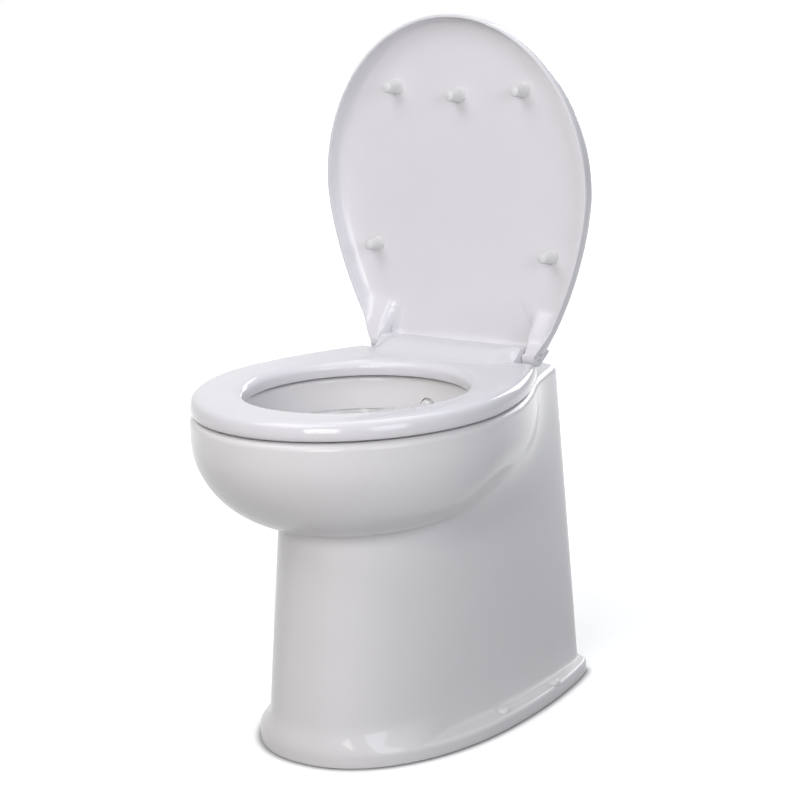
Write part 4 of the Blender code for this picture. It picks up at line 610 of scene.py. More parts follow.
def combine(piece: Piece, tool: Piece, cut: Cut) -> Piece:
    """Cuts a tool body away from a piece, or joins it on, and removes the tool.

    Args:
        piece: The piece.
        tool: The other body.
        cut: Which of the two.

    Returns:
        The piece.
    """
    step = piece.modifiers.new("cut", "BOOLEAN")
    step.operation = cut.value
    step.solver = "EXACT"
    step.material_mode = "TRANSFER"
    step.object = tool
    pick(piece)
    bpy.ops.object.modifier_apply(modifier=step.name)
    bpy.data.objects.remove(tool, do_unlink=True)
    return piece


def drill(piece: Piece, profile: Profile, place: Point, axis: Axis = Axis.Z,
          steps: int = 32) -> None:
    """Cuts a turned hole.

    Args:
        piece: The piece that gets the hole.
        profile: The hole's (radius, height) points.
        place: Where the profile's zero stands.
        axis: The way the hole's axis points.
        steps: Sides of the hole.
    """
    combine(piece, turned("hole", profile, place, axis, steps), Cut.AWAY)


def put(piece: Piece, *moves: Matrix) -> Piece:
    """Moves a piece that was drawn at the origin into place.

    Args:
        piece: The piece.
        moves: Its moves, the last one first.

    Returns:
        The same piece, with its place in its mesh.
    """
    place = Matrix.Identity(4)
    for move in moves:
        place = place @ move
    piece.matrix_world = place
    return settle(piece, piece.name)


def rounded(piece: Piece, width: float, segments: int = 3, angle: float = 40.0) -> Piece:
    """Rounds a piece's sharp edges.

    Args:
        piece: The piece.
        width: How far the rounding reaches.
        segments: Its steps.
        angle: Edges sharper than this, in degrees, are rounded.

    Returns:
        The piece.
    """
    step = piece.modifiers.new("edge", "BEVEL")
    step.width = width
    step.segments = segments
    step.limit_method = "ANGLE"
    step.angle_limit = math.radians(angle)
    pick(piece)
    bpy.ops.object.modifier_apply(modifier=step.name)
    return piece


def dress(piece: Piece, finish: Finish, body: str, node: str,
          angle: float = 35.0) -> Piece:
    """Shades a finished piece and fastens it to the body that carries it.

    Args:
        piece: The piece.
        finish: Its surface.
        body: The CAD body that it rides on.
        node: The CAD node that it stands for.
        angle: Edges sharper than this, in degrees, stay sharp.

    Returns:
        The piece.
    """
    if not any(piece.data.materials):
        piece.data.materials.clear()
        piece.data.materials.append(finish.material())
    pick(piece)
    bpy.ops.object.shade_smooth_by_angle(angle=math.radians(angle))
    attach(piece, body)
    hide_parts(node)
    LOG.info("%s: %d faces on %s", piece.name, len(piece.data.polygons), body)
    return piece


# China


@dataclass
class China:
    """The glazed casting: foot flange, skirt, bowl and rear deck."""

    sides: int = 176
    rim_reach: float = 0.3965
    rim_half: float = 0.187
    tail_share: float = 0.90
    rim_round: float = 0.009
    belly_z: float = 0.367
    belly_drop: float = 0.105
    belly_inset: float = 0.120
    crease: float = 0.012
    sweep_drop: float = 0.142
    sweep_width: float = 0.030
    sweep_start: float = -0.35
    sweep_end: float = 0.45
    foot_half: float = 0.1205
    deck_half: float = 0.1165
    skirt_widest: float = 0.060
    foot_front: float = 0.329
    neck_front: float = 0.3035
    foot_power: float = 2.6
    neck_power: float = 2.2
    foot_corner: float = 0.1075
    deck_corner: float = 0.0930
    foot_back: float = 0.1035
    deck_back: float = 0.0880
    neck_z: float = 0.258
    flange: Dee = Dee(0.147, 0.100, 0.3325, 2.2, 0.1185, 0.1044)
    flange_height: float = 0.017
    flange_round: float = 0.005
    sole_round: float = 0.0025
    fillet: float = 0.0048
    flare_foot: float = 0.012
    flare_top: float = 0.048
    dense_z: float = 0.225
    flare_power: float = 2.6
    flare_turn: float = math.radians(55)
    ledge_turn: float = math.radians(95)
    wall: float = 0.010
    deck: float = 0.012
    mouth: Egg = Egg(0.138, 0.150, 0.136, 2.0)
    mouth_round: float = 0.006
    flat: float = 0.0015
    ledge_z: float = 0.3552
    ledge_lip: float = 0.0006
    ledge_depth: float = 0.0065
    ledge_fall: float = 0.024
    bowl_power: float = 0.8
    floor_z: float = 0.197
    floor_radius: float = 0.034
    outlet_radius: float = 0.022
    neck_radius: float = 0.030
    neck_end_z: float = 0.167
    door_half: float = 0.072
    door_top: float = 0.290
    door_round: float = 0.026
    lip_round: float = 0.004
    screw_bore: float = 0.0034
    nozzle_bore: float = 0.0109
    nozzle_place: Point = (0.0, BOWL_Y + 0.141, 0.360)
    bore_reach: float = 0.03

    def back_y(self, height: float) -> float:
        """Where the skirt's flat back stands at a height."""
        return HINGE_Y + self.foot_back + (self.deck_back - self.foot_back) * height / RIM_Z

    def skirt(self, height: float) -> Dee:
        """The skirt's section at a height, straight between the floor, the neck and the deck.

        Args:
            height: Height above the floor.

        Returns:
            The section.
        """
        share = height / RIM_Z
        neck_share = min(height / self.neck_z, 1.0)
        return Dee(
            half=self.foot_half + (self.deck_half - self.foot_half) * share,
            widest=self.skirt_widest,
            front=self.foot_front + (self.neck_front - self.foot_front) * neck_share,
            front_power=self.foot_power + (self.neck_power - self.foot_power) * neck_share,
            corner=self.foot_corner + (self.deck_corner - self.foot_corner) * share,
            back=self.foot_back + (self.deck_back - self.foot_back) * share,
        )

    def outside(self, rays: np.ndarray, height: float) -> np.ndarray:
        """The outside of bowl and skirt together: creased in front, one sweep at the sides.

        Args:
            rays: Unit vectors from the middle of the bowl.
            height: Height above the floor.

        Returns:
            One distance for each ray.
        """
        skirt_section = self.skirt(height)
        skirt = skirt_section.reach(rays)
        back = np.where(rays[:, 1] > 0.0, rays[:, 1], 0.001)
        rim = np.minimum(Egg(self.rim_half, self.rim_reach - WIDEST, REAR_REACH).reach(rays),
                         self.tail_share * (HINGE_Y + skirt_section.back - BOWL_Y) / back)
        below = max(self.belly_z - height, 0.0)
        creased = skirt
        if below < self.belly_drop:
            inset = self.belly_inset * (1.0 - math.sqrt(1.0 - (below / self.belly_drop) ** 2))
            creased = self.larger(rim - inset, skirt, self.crease)
        swept = skirt + (self.larger(rim - skirt, 0.0, self.sweep_width)
                         * smooth_step(self.belly_z - self.sweep_drop - height, 0.0, -self.sweep_drop))
        return creased + (swept - creased) * smooth_step(rays[:, 1], self.sweep_start, self.sweep_end)

    @staticmethod
    def larger(one: np.ndarray, other: np.ndarray | float, width: float) -> np.ndarray:
        """The larger of two distances, rounded where they come within a width of each other."""
        overlap = np.maximum(width - np.abs(one - other), 0.0) / width
        return np.maximum(one, other) + overlap ** 2 * width / 4

    def foot(self, rays: np.ndarray, height: float, ledge: np.ndarray) -> np.ndarray:
        """The foot's outside: one sweep out to its edge in front, a ledge at the sides.

        Args:
            rays: Unit vectors from the middle of the bowl.
            height: Height above the floor.
            ledge: The distances where the foot is a ledge.

        Returns:
            One distance for each ray.
        """
        wall = self.outside(rays, height)
        rise = min(max(height - self.flare_foot, 0.0) / (self.flare_top - self.flare_foot), 1.0)
        share = (1.0 - rise) ** self.flare_power * (1.0 + self.flare_power * rise)
        flare = wall + np.maximum(self.flange.reach(rays) - wall, 0.0) * share
        turn = np.arctan2(np.abs(rays[:, 0]), -rays[:, 1])
        return flare + (ledge - flare) * smooth_step(turn, self.flare_turn, self.ledge_turn)

    def foot_sections(self, rays: np.ndarray) -> list[np.ndarray]:
        """The flange's sections, from the floor to the fillet against the skirt.

        Args:
            rays: Unit vectors from the middle of the bowl.

        Returns:
            The sections.
        """
        edge = np.maximum(self.flange.reach(rays), self.outside(rays, 0.0))
        fine = range(0, 91, 18)
        sections = [section(rays, edge - inset, rise) for inset, rise in quarter(self.sole_round, fine)]
        for fall, inset in quarter(self.flange_round, fine):
            height = self.flange_height - fall
            sections.append(section(rays, self.foot(rays, height, edge - inset), height))
        limit = edge - self.flange_round
        for spread, rise in quarter(self.fillet, range(0, 91, 15)):
            height = self.flange_height + rise
            wall = self.outside(rays, height)
            ledge = np.minimum(wall + spread, np.maximum(limit, wall))
            sections.append(section(rays, self.foot(rays, height, ledge), height))
        for height in np.linspace(self.flange_height + self.fillet, self.flare_top, 8)[1:]:
            sections.append(section(rays, self.foot(rays, height, self.outside(rays, height)), height))
        return sections

    def wall_sections(self, rays: np.ndarray) -> list[np.ndarray]:
        """The skirt's and the belly's sections, up to the rim's rounded top.

        Args:
            rays: Unit vectors from the middle of the bowl.

        Returns:
            The sections.
        """
        belly_foot = self.belly_z - self.belly_drop
        heights = [*np.linspace(self.flare_top, self.dense_z, 12)[1:],
                   *np.linspace(self.dense_z, belly_foot, 12)[1:]]
        heights += [self.belly_z - self.belly_drop * math.cos(turn)
                    for turn in np.radians(np.linspace(0, 90, 34)[1:])]
        sections = [section(rays, self.outside(rays, height), height) for height in heights]
        for fall, inset in quarter(self.rim_round, np.linspace(0, 90, 9)):
            sections.append(section(rays, self.outside(rays, RIM_Z - fall) - inset, RIM_Z - fall))
        sections.append(section(rays, self.outside(rays, RIM_Z) - self.rim_round - self.flat, RIM_Z))
        return sections

    def bowl_section(self, rays: np.ndarray, height: float, grow: np.ndarray | float) -> np.ndarray:
        """The bowl's section at a height, or one outside it.

        Args:
            rays: Unit vectors from the middle of the bowl.
            height: Height above the floor.
            grow: How far outside the bowl's inner face it lies.

        Returns:
            The section.
        """
        top = RIM_Z - self.mouth_round
        share = math.sin((height - self.floor_z) / (top - self.floor_z) * math.pi / 2) ** self.bowl_power
        reach = self.floor_radius + (self.mouth.reach(rays) - self.floor_radius) * share + grow
        return section(rays, reach, height, SUMP_SHIFT * (1 - share))

    def flush_groove(self, rays: np.ndarray, height: float) -> np.ndarray:
        """How far the bowl draws back under the ledge that spreads the rinse water, at a height."""
        lip_z = self.ledge_z - self.ledge_lip
        drawn = (smooth_step(height, self.ledge_z, lip_z)
                 * (1.0 - smooth_step(height, lip_z, self.ledge_z - self.ledge_fall)))
        return self.ledge_depth * drawn * (1.0 - smooth_step(rays[:, 1], 0.80, 0.96))

    def bowl_sections(self, rays: np.ndarray) -> list[np.ndarray]:
        """The bowl's inside, from its mouth down through the outlet.

        Args:
            rays: Unit vectors from the middle of the bowl.

        Returns:
            The sections.
        """
        mouth = self.mouth.reach(rays)
        sections = [section(rays, mouth + self.mouth_round + self.flat, RIM_Z)]
        sections += [section(rays, mouth + grow, RIM_Z - fall)
                     for fall, grow in quarter(self.mouth_round, np.linspace(90, 0, 8))]
        top = RIM_Z - self.mouth_round
        heights = self.floor_z + (top - self.floor_z) * np.linspace(1.0, 0.0, 30)[1:] ** 1.5
        undercut = [*(self.ledge_z - np.linspace(0.0, self.ledge_lip, 4)),
                    *(self.ledge_z - np.linspace(self.ledge_lip, self.ledge_fall, 12)[1:])]
        sections += [self.bowl_section(rays, height, self.flush_groove(rays, height))
                     for height in sorted({*heights, *undercut}, reverse=True)]
        lip = self.floor_radius - self.outlet_radius
        for turn in np.radians(np.linspace(0, 90, 8)[1:]):
            height = self.floor_z - lip / 2 * (1 - math.cos(turn))
            sections.append(section(rays, self.floor_radius - lip * math.sin(turn), height, SUMP_SHIFT))
        sections.append(section(rays, self.outlet_radius, self.neck_end_z - OVERRUN, SUMP_SHIFT))
        return sections

    def hollow(self) -> Piece:
        """The space inside the skirt, with the bowl's wall and neck taken out of it.

        Returns:
            The tool body, with the unglazed finish on it.
        """
        corner = math.atan2(self.foot_corner - self.wall, HINGE_Y + self.foot_back - self.wall - BOWL_Y)
        rays = rays_round(corner, 120)
        heights = (-OVERRUN, self.flange_height, 0.10, 0.18, self.neck_z, 0.32, RIM_Z - self.deck)
        hollow = lofted("hollow", [section(rays, self.skirt(max(height, 0.0)).reach(rays, self.wall), height)
                                   for height in heights])
        sections = [section(rays, self.floor_radius + self.wall, self.floor_z - self.wall, SUMP_SHIFT)]
        sections += [self.bowl_section(rays, height, self.wall)
                     for height in np.linspace(self.floor_z, RIM_Z - self.mouth_round, 18)]
        sections.append(section(rays, self.mouth.reach(rays) + self.wall, RIM_Z + OVERRUN))
        combine(hollow, lofted("bowl_wall", sections), Cut.AWAY)
        drill(hollow, barrel(self.neck_end_z, self.floor_z - self.wall / 2, self.neck_radius),
              (0.0, SUMP_Y, 0.0), steps=64)
        hollow.data.materials.append(BISCUIT.material())
        return hollow

    def door(self) -> Piece:
        """The arched opening in the back, flared where it meets the outside.

        Returns:
            The tool body.
        """
        def arch(grow: float, depth: float) -> np.ndarray:
            half = self.door_half + grow
            radius = self.door_round + grow
            top = self.door_top - self.door_round
            points = [(half, -OVERRUN), *arc((half - radius, top), radius, 0, 90, 13),
                      *arc((radius - half, top), radius, 90, 180, 13), (-half, -OVERRUN)]
            return np.array([(x, self.back_y(max(z, 0.0)) + depth, z) for x, z in points])

        sections = [arch(0.0, -2 * self.wall - OVERRUN)]
        sections += [arch(grow, -depth) for depth, grow in quarter(self.lip_round, np.linspace(0, 90, 7))]
        sections.append(arch(self.lip_round * 1.2, self.lip_round))
        return lofted("door", sections)

    def build(self) -> Piece:
        """Models the whole casting.

        Returns:
            The piece.
        """
        rays = rays_round(math.atan2(self.foot_corner, HINGE_Y + self.foot_back - BOWL_Y), self.sides)
        piece = lofted("china_casting", self.foot_sections(rays) + self.wall_sections(rays)
                       + self.bowl_sections(rays))
        piece.data.materials.append(GLAZED_CHINA.material())
        combine(piece, self.hollow(), Cut.AWAY)
        combine(piece, self.door(), Cut.AWAY)
        reach = self.bore_reach
        for x, y in FloorFixings.places():
            drill(piece, barrel(-OVERRUN, reach, self.screw_bore), (x, y, 0.0))
        for side in (-1, 1):
            drill(piece, barrel(-reach, reach, STUD_BORE), (side * POST_X, HINGE_Y, RIM_Z))
        drill(piece, barrel(-reach, reach, self.nozzle_bore), self.nozzle_place, Axis.Y)
        return dress(piece, GLAZED_CHINA, "china", "china_body", angle=32.0)


@dataclass
class FloorFixings:
    """The white caps over the four screws that hold the flange down."""

    radius: float = 0.0080
    height: float = 0.0055
    hollow: float = 0.0064
    roof: float = 0.0031
    seat_z: float = 0.0173

    @staticmethod
    def places() -> list[tuple[float, float]]:
        """Where the screws stand on the flange."""
        return [(side * 0.1335, HINGE_Y - reach) for side in (-1, 1) for reach in (0.114, 0.004)]

    def build(self) -> None:
        """Models a cap for each screw."""
        dome = through([(0.0, self.height), (self.radius * 0.5, self.height * 0.95),
                        (self.radius * 0.86, self.height * 0.66), (self.radius, self.height * 0.12)], 5)
        profile = [tuple(row) for row in dome] + [(self.radius, 0.0), (self.hollow, 0.0),
                                                  (self.hollow, self.roof), (0.0, self.roof)]
        for number, (x, y) in enumerate(self.places(), 1):
            cap = turned(f"screw_cap_{number}", profile, (x, y, self.seat_z), steps=40)
            dress(cap, CAP_PLASTIC, "china", f"floor_screw_cap_{number}", angle=50.0)


# Seat and lid


@dataclass
class Seat:
    """The thick moulded ring with its hinge block, and the four pads under it."""

    sides: int = 176
    half: float = 0.186
    length: float = 0.3955
    base: float = 0.397
    thick: float = 0.0212
    edge: float = 0.021
    wall: float = 0.0055
    hole: Egg = Egg(0.129, 0.134, 0.127, 2.0)
    back_reach: float = 0.0160
    back_corner: float = 0.1288
    block_half: float = 0.1025
    block_radius: float = 0.0112
    block_soft: float = 0.0012
    bore_x: float = 0.1117
    bore_half: float = 0.0515
    notch_size: Point = (0.0264, 0.0224, 0.0336)
    pad_size: tuple[float, float] = (0.016, 0.030)

    def sections(self) -> list[np.ndarray]:
        """The ring's sections, from its outer foot over the crown and back under.

        Returns:
            The sections.
        """
        rays = rays_round(math.atan2(self.back_corner, HINGE_Y - self.back_reach - BOWL_Y), self.sides)
        outer = Egg(self.half, self.length - WIDEST, REAR_REACH).reach(rays)
        back = np.where(rays[:, 1] > 0.0, rays[:, 1], 0.001)
        outer = np.minimum(outer, (HINGE_Y - self.back_reach - BOWL_Y) / back)
        inner = self.hole.reach(rays)
        edge, wall = self.edge, self.wall
        crown = through([
            (0.0, -0.08 * edge, 0.0), (0.0, -0.015 * edge, 0.10), (0.0, 0.0, 0.36), (0.0, -0.10 * edge, 0.70),
            (0.0, -0.30 * edge, 0.90), (0.0, -0.62 * edge, 0.985), (0.0, -1.0 * edge, 1.0),
            (0.55, 0.0, 0.97), (1.0, 0.62 * edge, 0.90), (1.0, 0.28 * edge, 0.79), (1.0, 0.08 * edge, 0.64),
            (1.0, 0.0, 0.44), (1.0, 0.02 * edge, 0.14), (1.0, 0.07 * edge, 0.0),
        ], 4)
        under = [(1.0, wall, 0.0), (1.0, 1.15 * wall, 0.10), (1.0, 1.6 * wall, 0.42),
                 (0.0, -2.2 * wall, 0.62), (0.0, -1.4 * wall, 0.12), (0.0, -1.2 * wall, 0.0)]
        sections = []
        for share, offset, height_share in [*crown, *under]:
            reach = outer + (inner - outer) * share + offset
            sections.append(section(rays, reach, self.base + self.thick * height_share))
        return sections

    def hinge_block(self) -> Piece:
        """The barrel round the hinge axis, with rounded ends.

        Returns:
            The tool body that joins the ring.
        """
        radius = self.block_radius
        full = through([(-0.0580, 0.4152), (-0.0520, 0.4178), (-0.0440, 0.4205), (-0.0360, 0.4252),
                        (-0.0280, 0.4291), (-0.0200, 0.4309), (-radius, 0.4310)], 3)
        low = through([(-0.0580, 0.4150), (-0.0520, 0.4154), (-0.0440, 0.4158), (-0.0360, 0.4164),
                       (-0.0280, 0.4180), (-0.0200, 0.4232), (-radius, 0.4310)], 3)
        back = [(radius * math.sin(turn), HINGE_Z - GAP + radius * math.cos(turn))
                for turn in np.radians(np.linspace(0, 180, 25))]
        back += [(-radius, 0.407), (-0.058, 0.404)]

        def profile(x: float, inset: float) -> np.ndarray:
            share = 1.0 - smooth_step(x, self.block_half - 0.026, self.block_half)
            rows = np.array([*(np.array(low) + (np.array(full) - np.array(low)) * share), *back])
            middle = np.array([-0.016, HINGE_Z - 0.007])
            length = np.linalg.norm(rows - middle, axis=1, keepdims=True)
            rows = middle + (rows - middle) * (length - inset) / length
            return np.column_stack([np.full(len(rows), x), rows[:, 0] + HINGE_Y, rows[:, 1]])

        half, soft = self.block_half, self.block_soft
        sections = [profile(x, 0.0) for x in np.linspace(half - 0.030, half - soft, 12)]
        sections += [profile(half - back_off, inset) for back_off, inset in quarter(soft, (30, 60, 90))]
        mirror = [rows * np.array([-1.0, 1.0, 1.0]) for rows in sections[::-1]]
        return lofted("hinge_block", mirror + sections)

    def build(self) -> None:
        """Models the ring with its block, and the pads."""
        piece = lofted("seat_ring", self.sections(), ring=True)
        combine(piece, self.hinge_block(), Cut.TOGETHER)
        for side in (-1, 1):
            notch = block("notch", self.notch_size, (side * POST_X, HINGE_Y + 0.003, 0.4114), 0.001, 2)
            combine(piece, notch, Cut.AWAY)
            drill(piece, barrel(-self.bore_half, self.bore_half, PIN_BORE),
                  (side * self.bore_x, HINGE_Y, HINGE_Z), Axis.X)
        dress(piece, THERMOSET, "seat", "seat", angle=38.0)
        for name in ("front_left", "front_right", "rear_left", "rear_right"):
            self.pad(name)

    def pad(self, name: str) -> None:
        """Models one pad inside the box of its CAD solid, turned to follow the ring."""
        node = f"seat_bumper_{name}"
        low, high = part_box(node)
        middle = (low + high) / 2
        turn = math.atan2(middle.x, BOWL_Y - middle.y)
        piece = block(f"seat_pad_{name}", (*self.pad_size, high.z - low.z), ORIGIN, 0.0022, 5)
        dress(put(piece, Matrix.Translation(middle), Matrix.Rotation(turn, 4, "Z")), ELASTOMER, "seat", node,
              angle=50.0)


@dataclass
class Lid:
    """The shallow tray with ears at its foot, and the five studs on its inner face."""

    sides: int = 176
    half: float = 0.1885
    length: float = 0.4000
    depth: float = 0.0200
    thick: float = 0.0050
    crown: float = 0.0040
    wall: float = 0.0040
    foot: float = 0.0180
    foot_back: float = 0.0122
    lean: float = math.radians(1.0)
    ear_inner: float = 0.1035
    ear_outer: float = 0.1207
    ear_radius: float = 0.0112

    def frame(self) -> Matrix:
        """Brings a shape drawn upright with the hinge axis at the origin into place."""
        return Matrix.Translation((0.0, HINGE_Y, HINGE_Z)) @ Matrix.Rotation(-self.lean, 4, "X")

    def sections(self) -> list[np.ndarray]:
        """The tray's sections, from the middle of its inner face over the rim to the back's crown.

        Returns:
            The sections.
        """
        rays = rays_round(math.atan2(self.ear_outer, WIDEST), self.sides)
        back = np.where(rays[:, 1] > 0.0, rays[:, 1], 0.001)
        reach = Egg(self.half, self.length - WIDEST, REAR_REACH).reach(rays)
        reach = np.minimum(reach, WIDEST / back)
        wall, depth = self.wall, self.depth

        def ring(share: float, offset: float, level: float, inner: bool) -> np.ndarray:
            radius = reach * share - offset
            points = np.column_stack([rays[:, 0] * radius, np.full(len(rays), level),
                                      WIDEST - rays[:, 1] * radius])
            return self.eared(points, inner)

        rows = [(share, 0.0, depth) for share in (0.15, 0.40, 0.60, 0.74)]
        rows += [(1.0, width * wall, depth) for width in (10.5, 9.5, 8.6, 7.7, 6.8, 6.0, 5.2)]
        rows += [tuple(row) for row in through([
            (1.0, 4.2 * wall, depth), (1.0, 3.1 * wall, depth * 0.97), (1.0, 2.2 * wall, depth * 0.86),
            (1.0, 1.6 * wall, depth * 0.66), (1.0, 1.25 * wall, depth * 0.36),
            (1.0, 1.05 * wall, depth * 0.08),
        ], 4)]
        sections = [ring(*row, True) for row in rows]
        top = depth + self.thick
        rows = [(1.0, 0.85 * wall, 0.0), (1.0, 0.50 * wall, 0.0), (1.0, 0.22 * wall, 0.0003)]
        rows += [tuple(row) for row in through([
            (1.0, 0.06 * wall, depth * 0.06), (1.0, 0.0, depth * 0.16), (1.0, 0.04 * wall, depth * 0.42),
            (1.0, 0.28 * wall, depth * 0.70), (1.0, 0.95 * wall, depth * 0.96),
            (1.0, 2.1 * wall, depth * 1.13), (1.0, 4.4 * wall, top), (0.82, 0.0, top + self.crown * 0.42),
            (0.58, 0.0, top + self.crown * 0.80), (0.30, 0.0, top + self.crown * 0.97),
            (0.10, 0.0, top + self.crown),
        ], 4)]
        return sections + [ring(*row, False) for row in rows]

    def eared(self, points: np.ndarray, inner: bool) -> np.ndarray:
        """Fills the tray's lower corners and draws them forward into the ears.

        Args:
            points: One section of the tray.
            inner: Whether the section is on the inner face.

        Returns:
            The section with its ears.
        """
        across = np.abs(points[:, 0])
        if inner:
            filled = smooth_step(across, 0.096, 0.109) * (1.0 - smooth_step(points[:, 2], 0.018, 0.062))
            points[:, 1] *= 1.0 - filled
        forward = smooth_step(across, self.ear_inner - 0.002, self.ear_inner)
        forward = forward * (1.0 - smooth_step(points[:, 2], 0.0, 0.035))
        points[:, 1] -= self.ear_radius * forward * np.clip(1.0 - points[:, 1] / self.depth, 0.0, 1.0)
        return points

    def build(self) -> None:
        """Models the tray, its ears and its studs."""
        piece = lofted("lid_tray", self.sections())
        foot = block("foot", (2 * self.ear_inner, 4 * self.depth, 2 * self.foot),
                     (0.0, self.foot_back - 2 * self.depth, 0.0))
        combine(piece, foot, Cut.AWAY)
        for side in (-1, 1):
            combine(piece, self.ear(side), Cut.TOGETHER)
            drill(piece, barrel(-0.03, 0.03, PIN_BORE), (side * self.ear_outer, 0.0, 0.0), Axis.X)
        dress(put(piece, self.frame()), THERMOSET, "lid", "lid", angle=38.0)
        for name, x, reach in (("front_left", -0.092, 0.3115), ("front_middle", 0.0, 0.3035),
                               ("front_right", 0.092, 0.3115), ("rear_left", -0.127, 0.118),
                               ("rear_right", 0.127, 0.118)):
            self.stud(name, x, reach)

    def ear(self, side: int) -> Piece:
        """Models the tab that runs from the tray's corner down round the pin.

        Args:
            side: -1 or 1.

        Returns:
            The tool body that joins the tray.
        """
        outline = arc((0.0, 0.0), self.ear_radius, -58.2, -180.0, 32)
        outline += [(-0.0106, 0.004), (0.0235, 0.006), (0.0235, 0.002)]
        tab = plate("ear", outline, side * self.ear_inner, side * self.ear_outer,
                    lambda y, z, x: (x, y, z))
        return rounded(tab, 0.0012, 3, 60.0)

    def stud(self, name: str, x: float, reach: float) -> None:
        """Models one tapered stud on the inner face.

        Args:
            name: Which of the five.
            x: Its place across the lid.
            reach: Its distance from the hinge axis.
        """
        length, base, tip = 0.0209, 0.0095, 0.0058
        side = through([(base, 0.0), (base * 0.97, length * 0.05), (base * 0.86, length * 0.16),
                        (tip * 1.06, length * 0.82), (tip * 0.90, length * 0.95), (tip * 0.5, length)], 4)
        profile = [(0.0, 0.0), *(tuple(row) for row in side), (0.0, length)]
        piece = put(turned(f"lid_stud_{name}", profile, ORIGIN, steps=48), self.frame(),
                    Matrix.Translation((x, self.depth - GAP, reach)), Matrix.Rotation(math.pi / 2, 4, "X"))
        dress(piece, ELASTOMER, "lid", f"lid_bumper_{name}", angle=50.0)


@dataclass
class Hinges:
    """The posts on the deck and the pins that carry lid and seat."""

    eye_radius: float = 0.0078
    eye_half: float = 0.011
    eye_soft: float = 0.0008
    foot_radius: float = 0.0165
    pin_radius: float = 0.0040
    pin_inner: float = 0.0605
    pin_outer: float = 0.1210

    def build(self) -> None:
        """Models both posts and both pins."""
        for side, word in ((-1, "left"), (1, "right")):
            self.post(side * POST_X, word)
            self.pin(side, word)

    def post(self, x: float, word: str) -> None:
        """Models a post: a round foot, a stem and the eye round the pin.

        Args:
            x: Its place across the deck.
            word: Left or right.
        """
        deck = RIM_Z + GAP
        radius = self.foot_radius
        piece = turned(f"post_{word}", [(0.0, 0.0038), (0.0095, 0.0038), (radius * 0.84, 0.0030),
                                        (radius * 0.96, 0.0020), (radius, 0.0010), (radius, 0.0), (0.0, 0.0)],
                       (x, HINGE_Y, deck), steps=56)
        stem = block("stem", (0.016, 0.011, HINGE_Z - deck - 0.001),
                     (x, HINGE_Y, (HINGE_Z + deck) / 2 + 0.0005), 0.0016, 3)
        combine(piece, stem, Cut.TOGETHER)
        eye = turned("eye", barrel(-self.eye_half, self.eye_half, self.eye_radius, self.eye_soft),
                     (x, HINGE_Y, HINGE_Z), Axis.X, 56)
        combine(piece, eye, Cut.TOGETHER)
        drill(piece, barrel(-0.02, 0.02, PIN_BORE), (x, HINGE_Y, HINGE_Z), Axis.X)
        drill(piece, barrel(-0.0058, 0.0058, STUD_BORE), (x, HINGE_Y, deck))
        dress(piece, BRUSHED_STEEL, "china", f"hinge_post_{word}")

    def pin(self, side: int, word: str) -> None:
        """Models a pin that ends flush with the lid's ear.

        Args:
            side: -1 or 1.
            word: Left or right.
        """
        radius, inner, outer = self.pin_radius, self.pin_inner, self.pin_outer
        profile = [(0.0, outer), (radius * 0.70, outer - 0.0001), (radius * 0.92, outer - 0.0003),
                   (radius, outer - 0.0008), (radius, inner + 0.0008), (radius * 0.85, inner + 0.0001),
                   (0.0, inner)]
        piece = put(turned(f"pin_{word}", profile, ORIGIN, steps=48),
                    Matrix.Translation((0.0, HINGE_Y, HINGE_Z)), Matrix.Rotation(side * math.pi / 2, 4, "Y"))
        dress(piece, CAP_PLASTIC, "china", f"hinge_pin_{word}", angle=50.0)


# Machinery behind the door


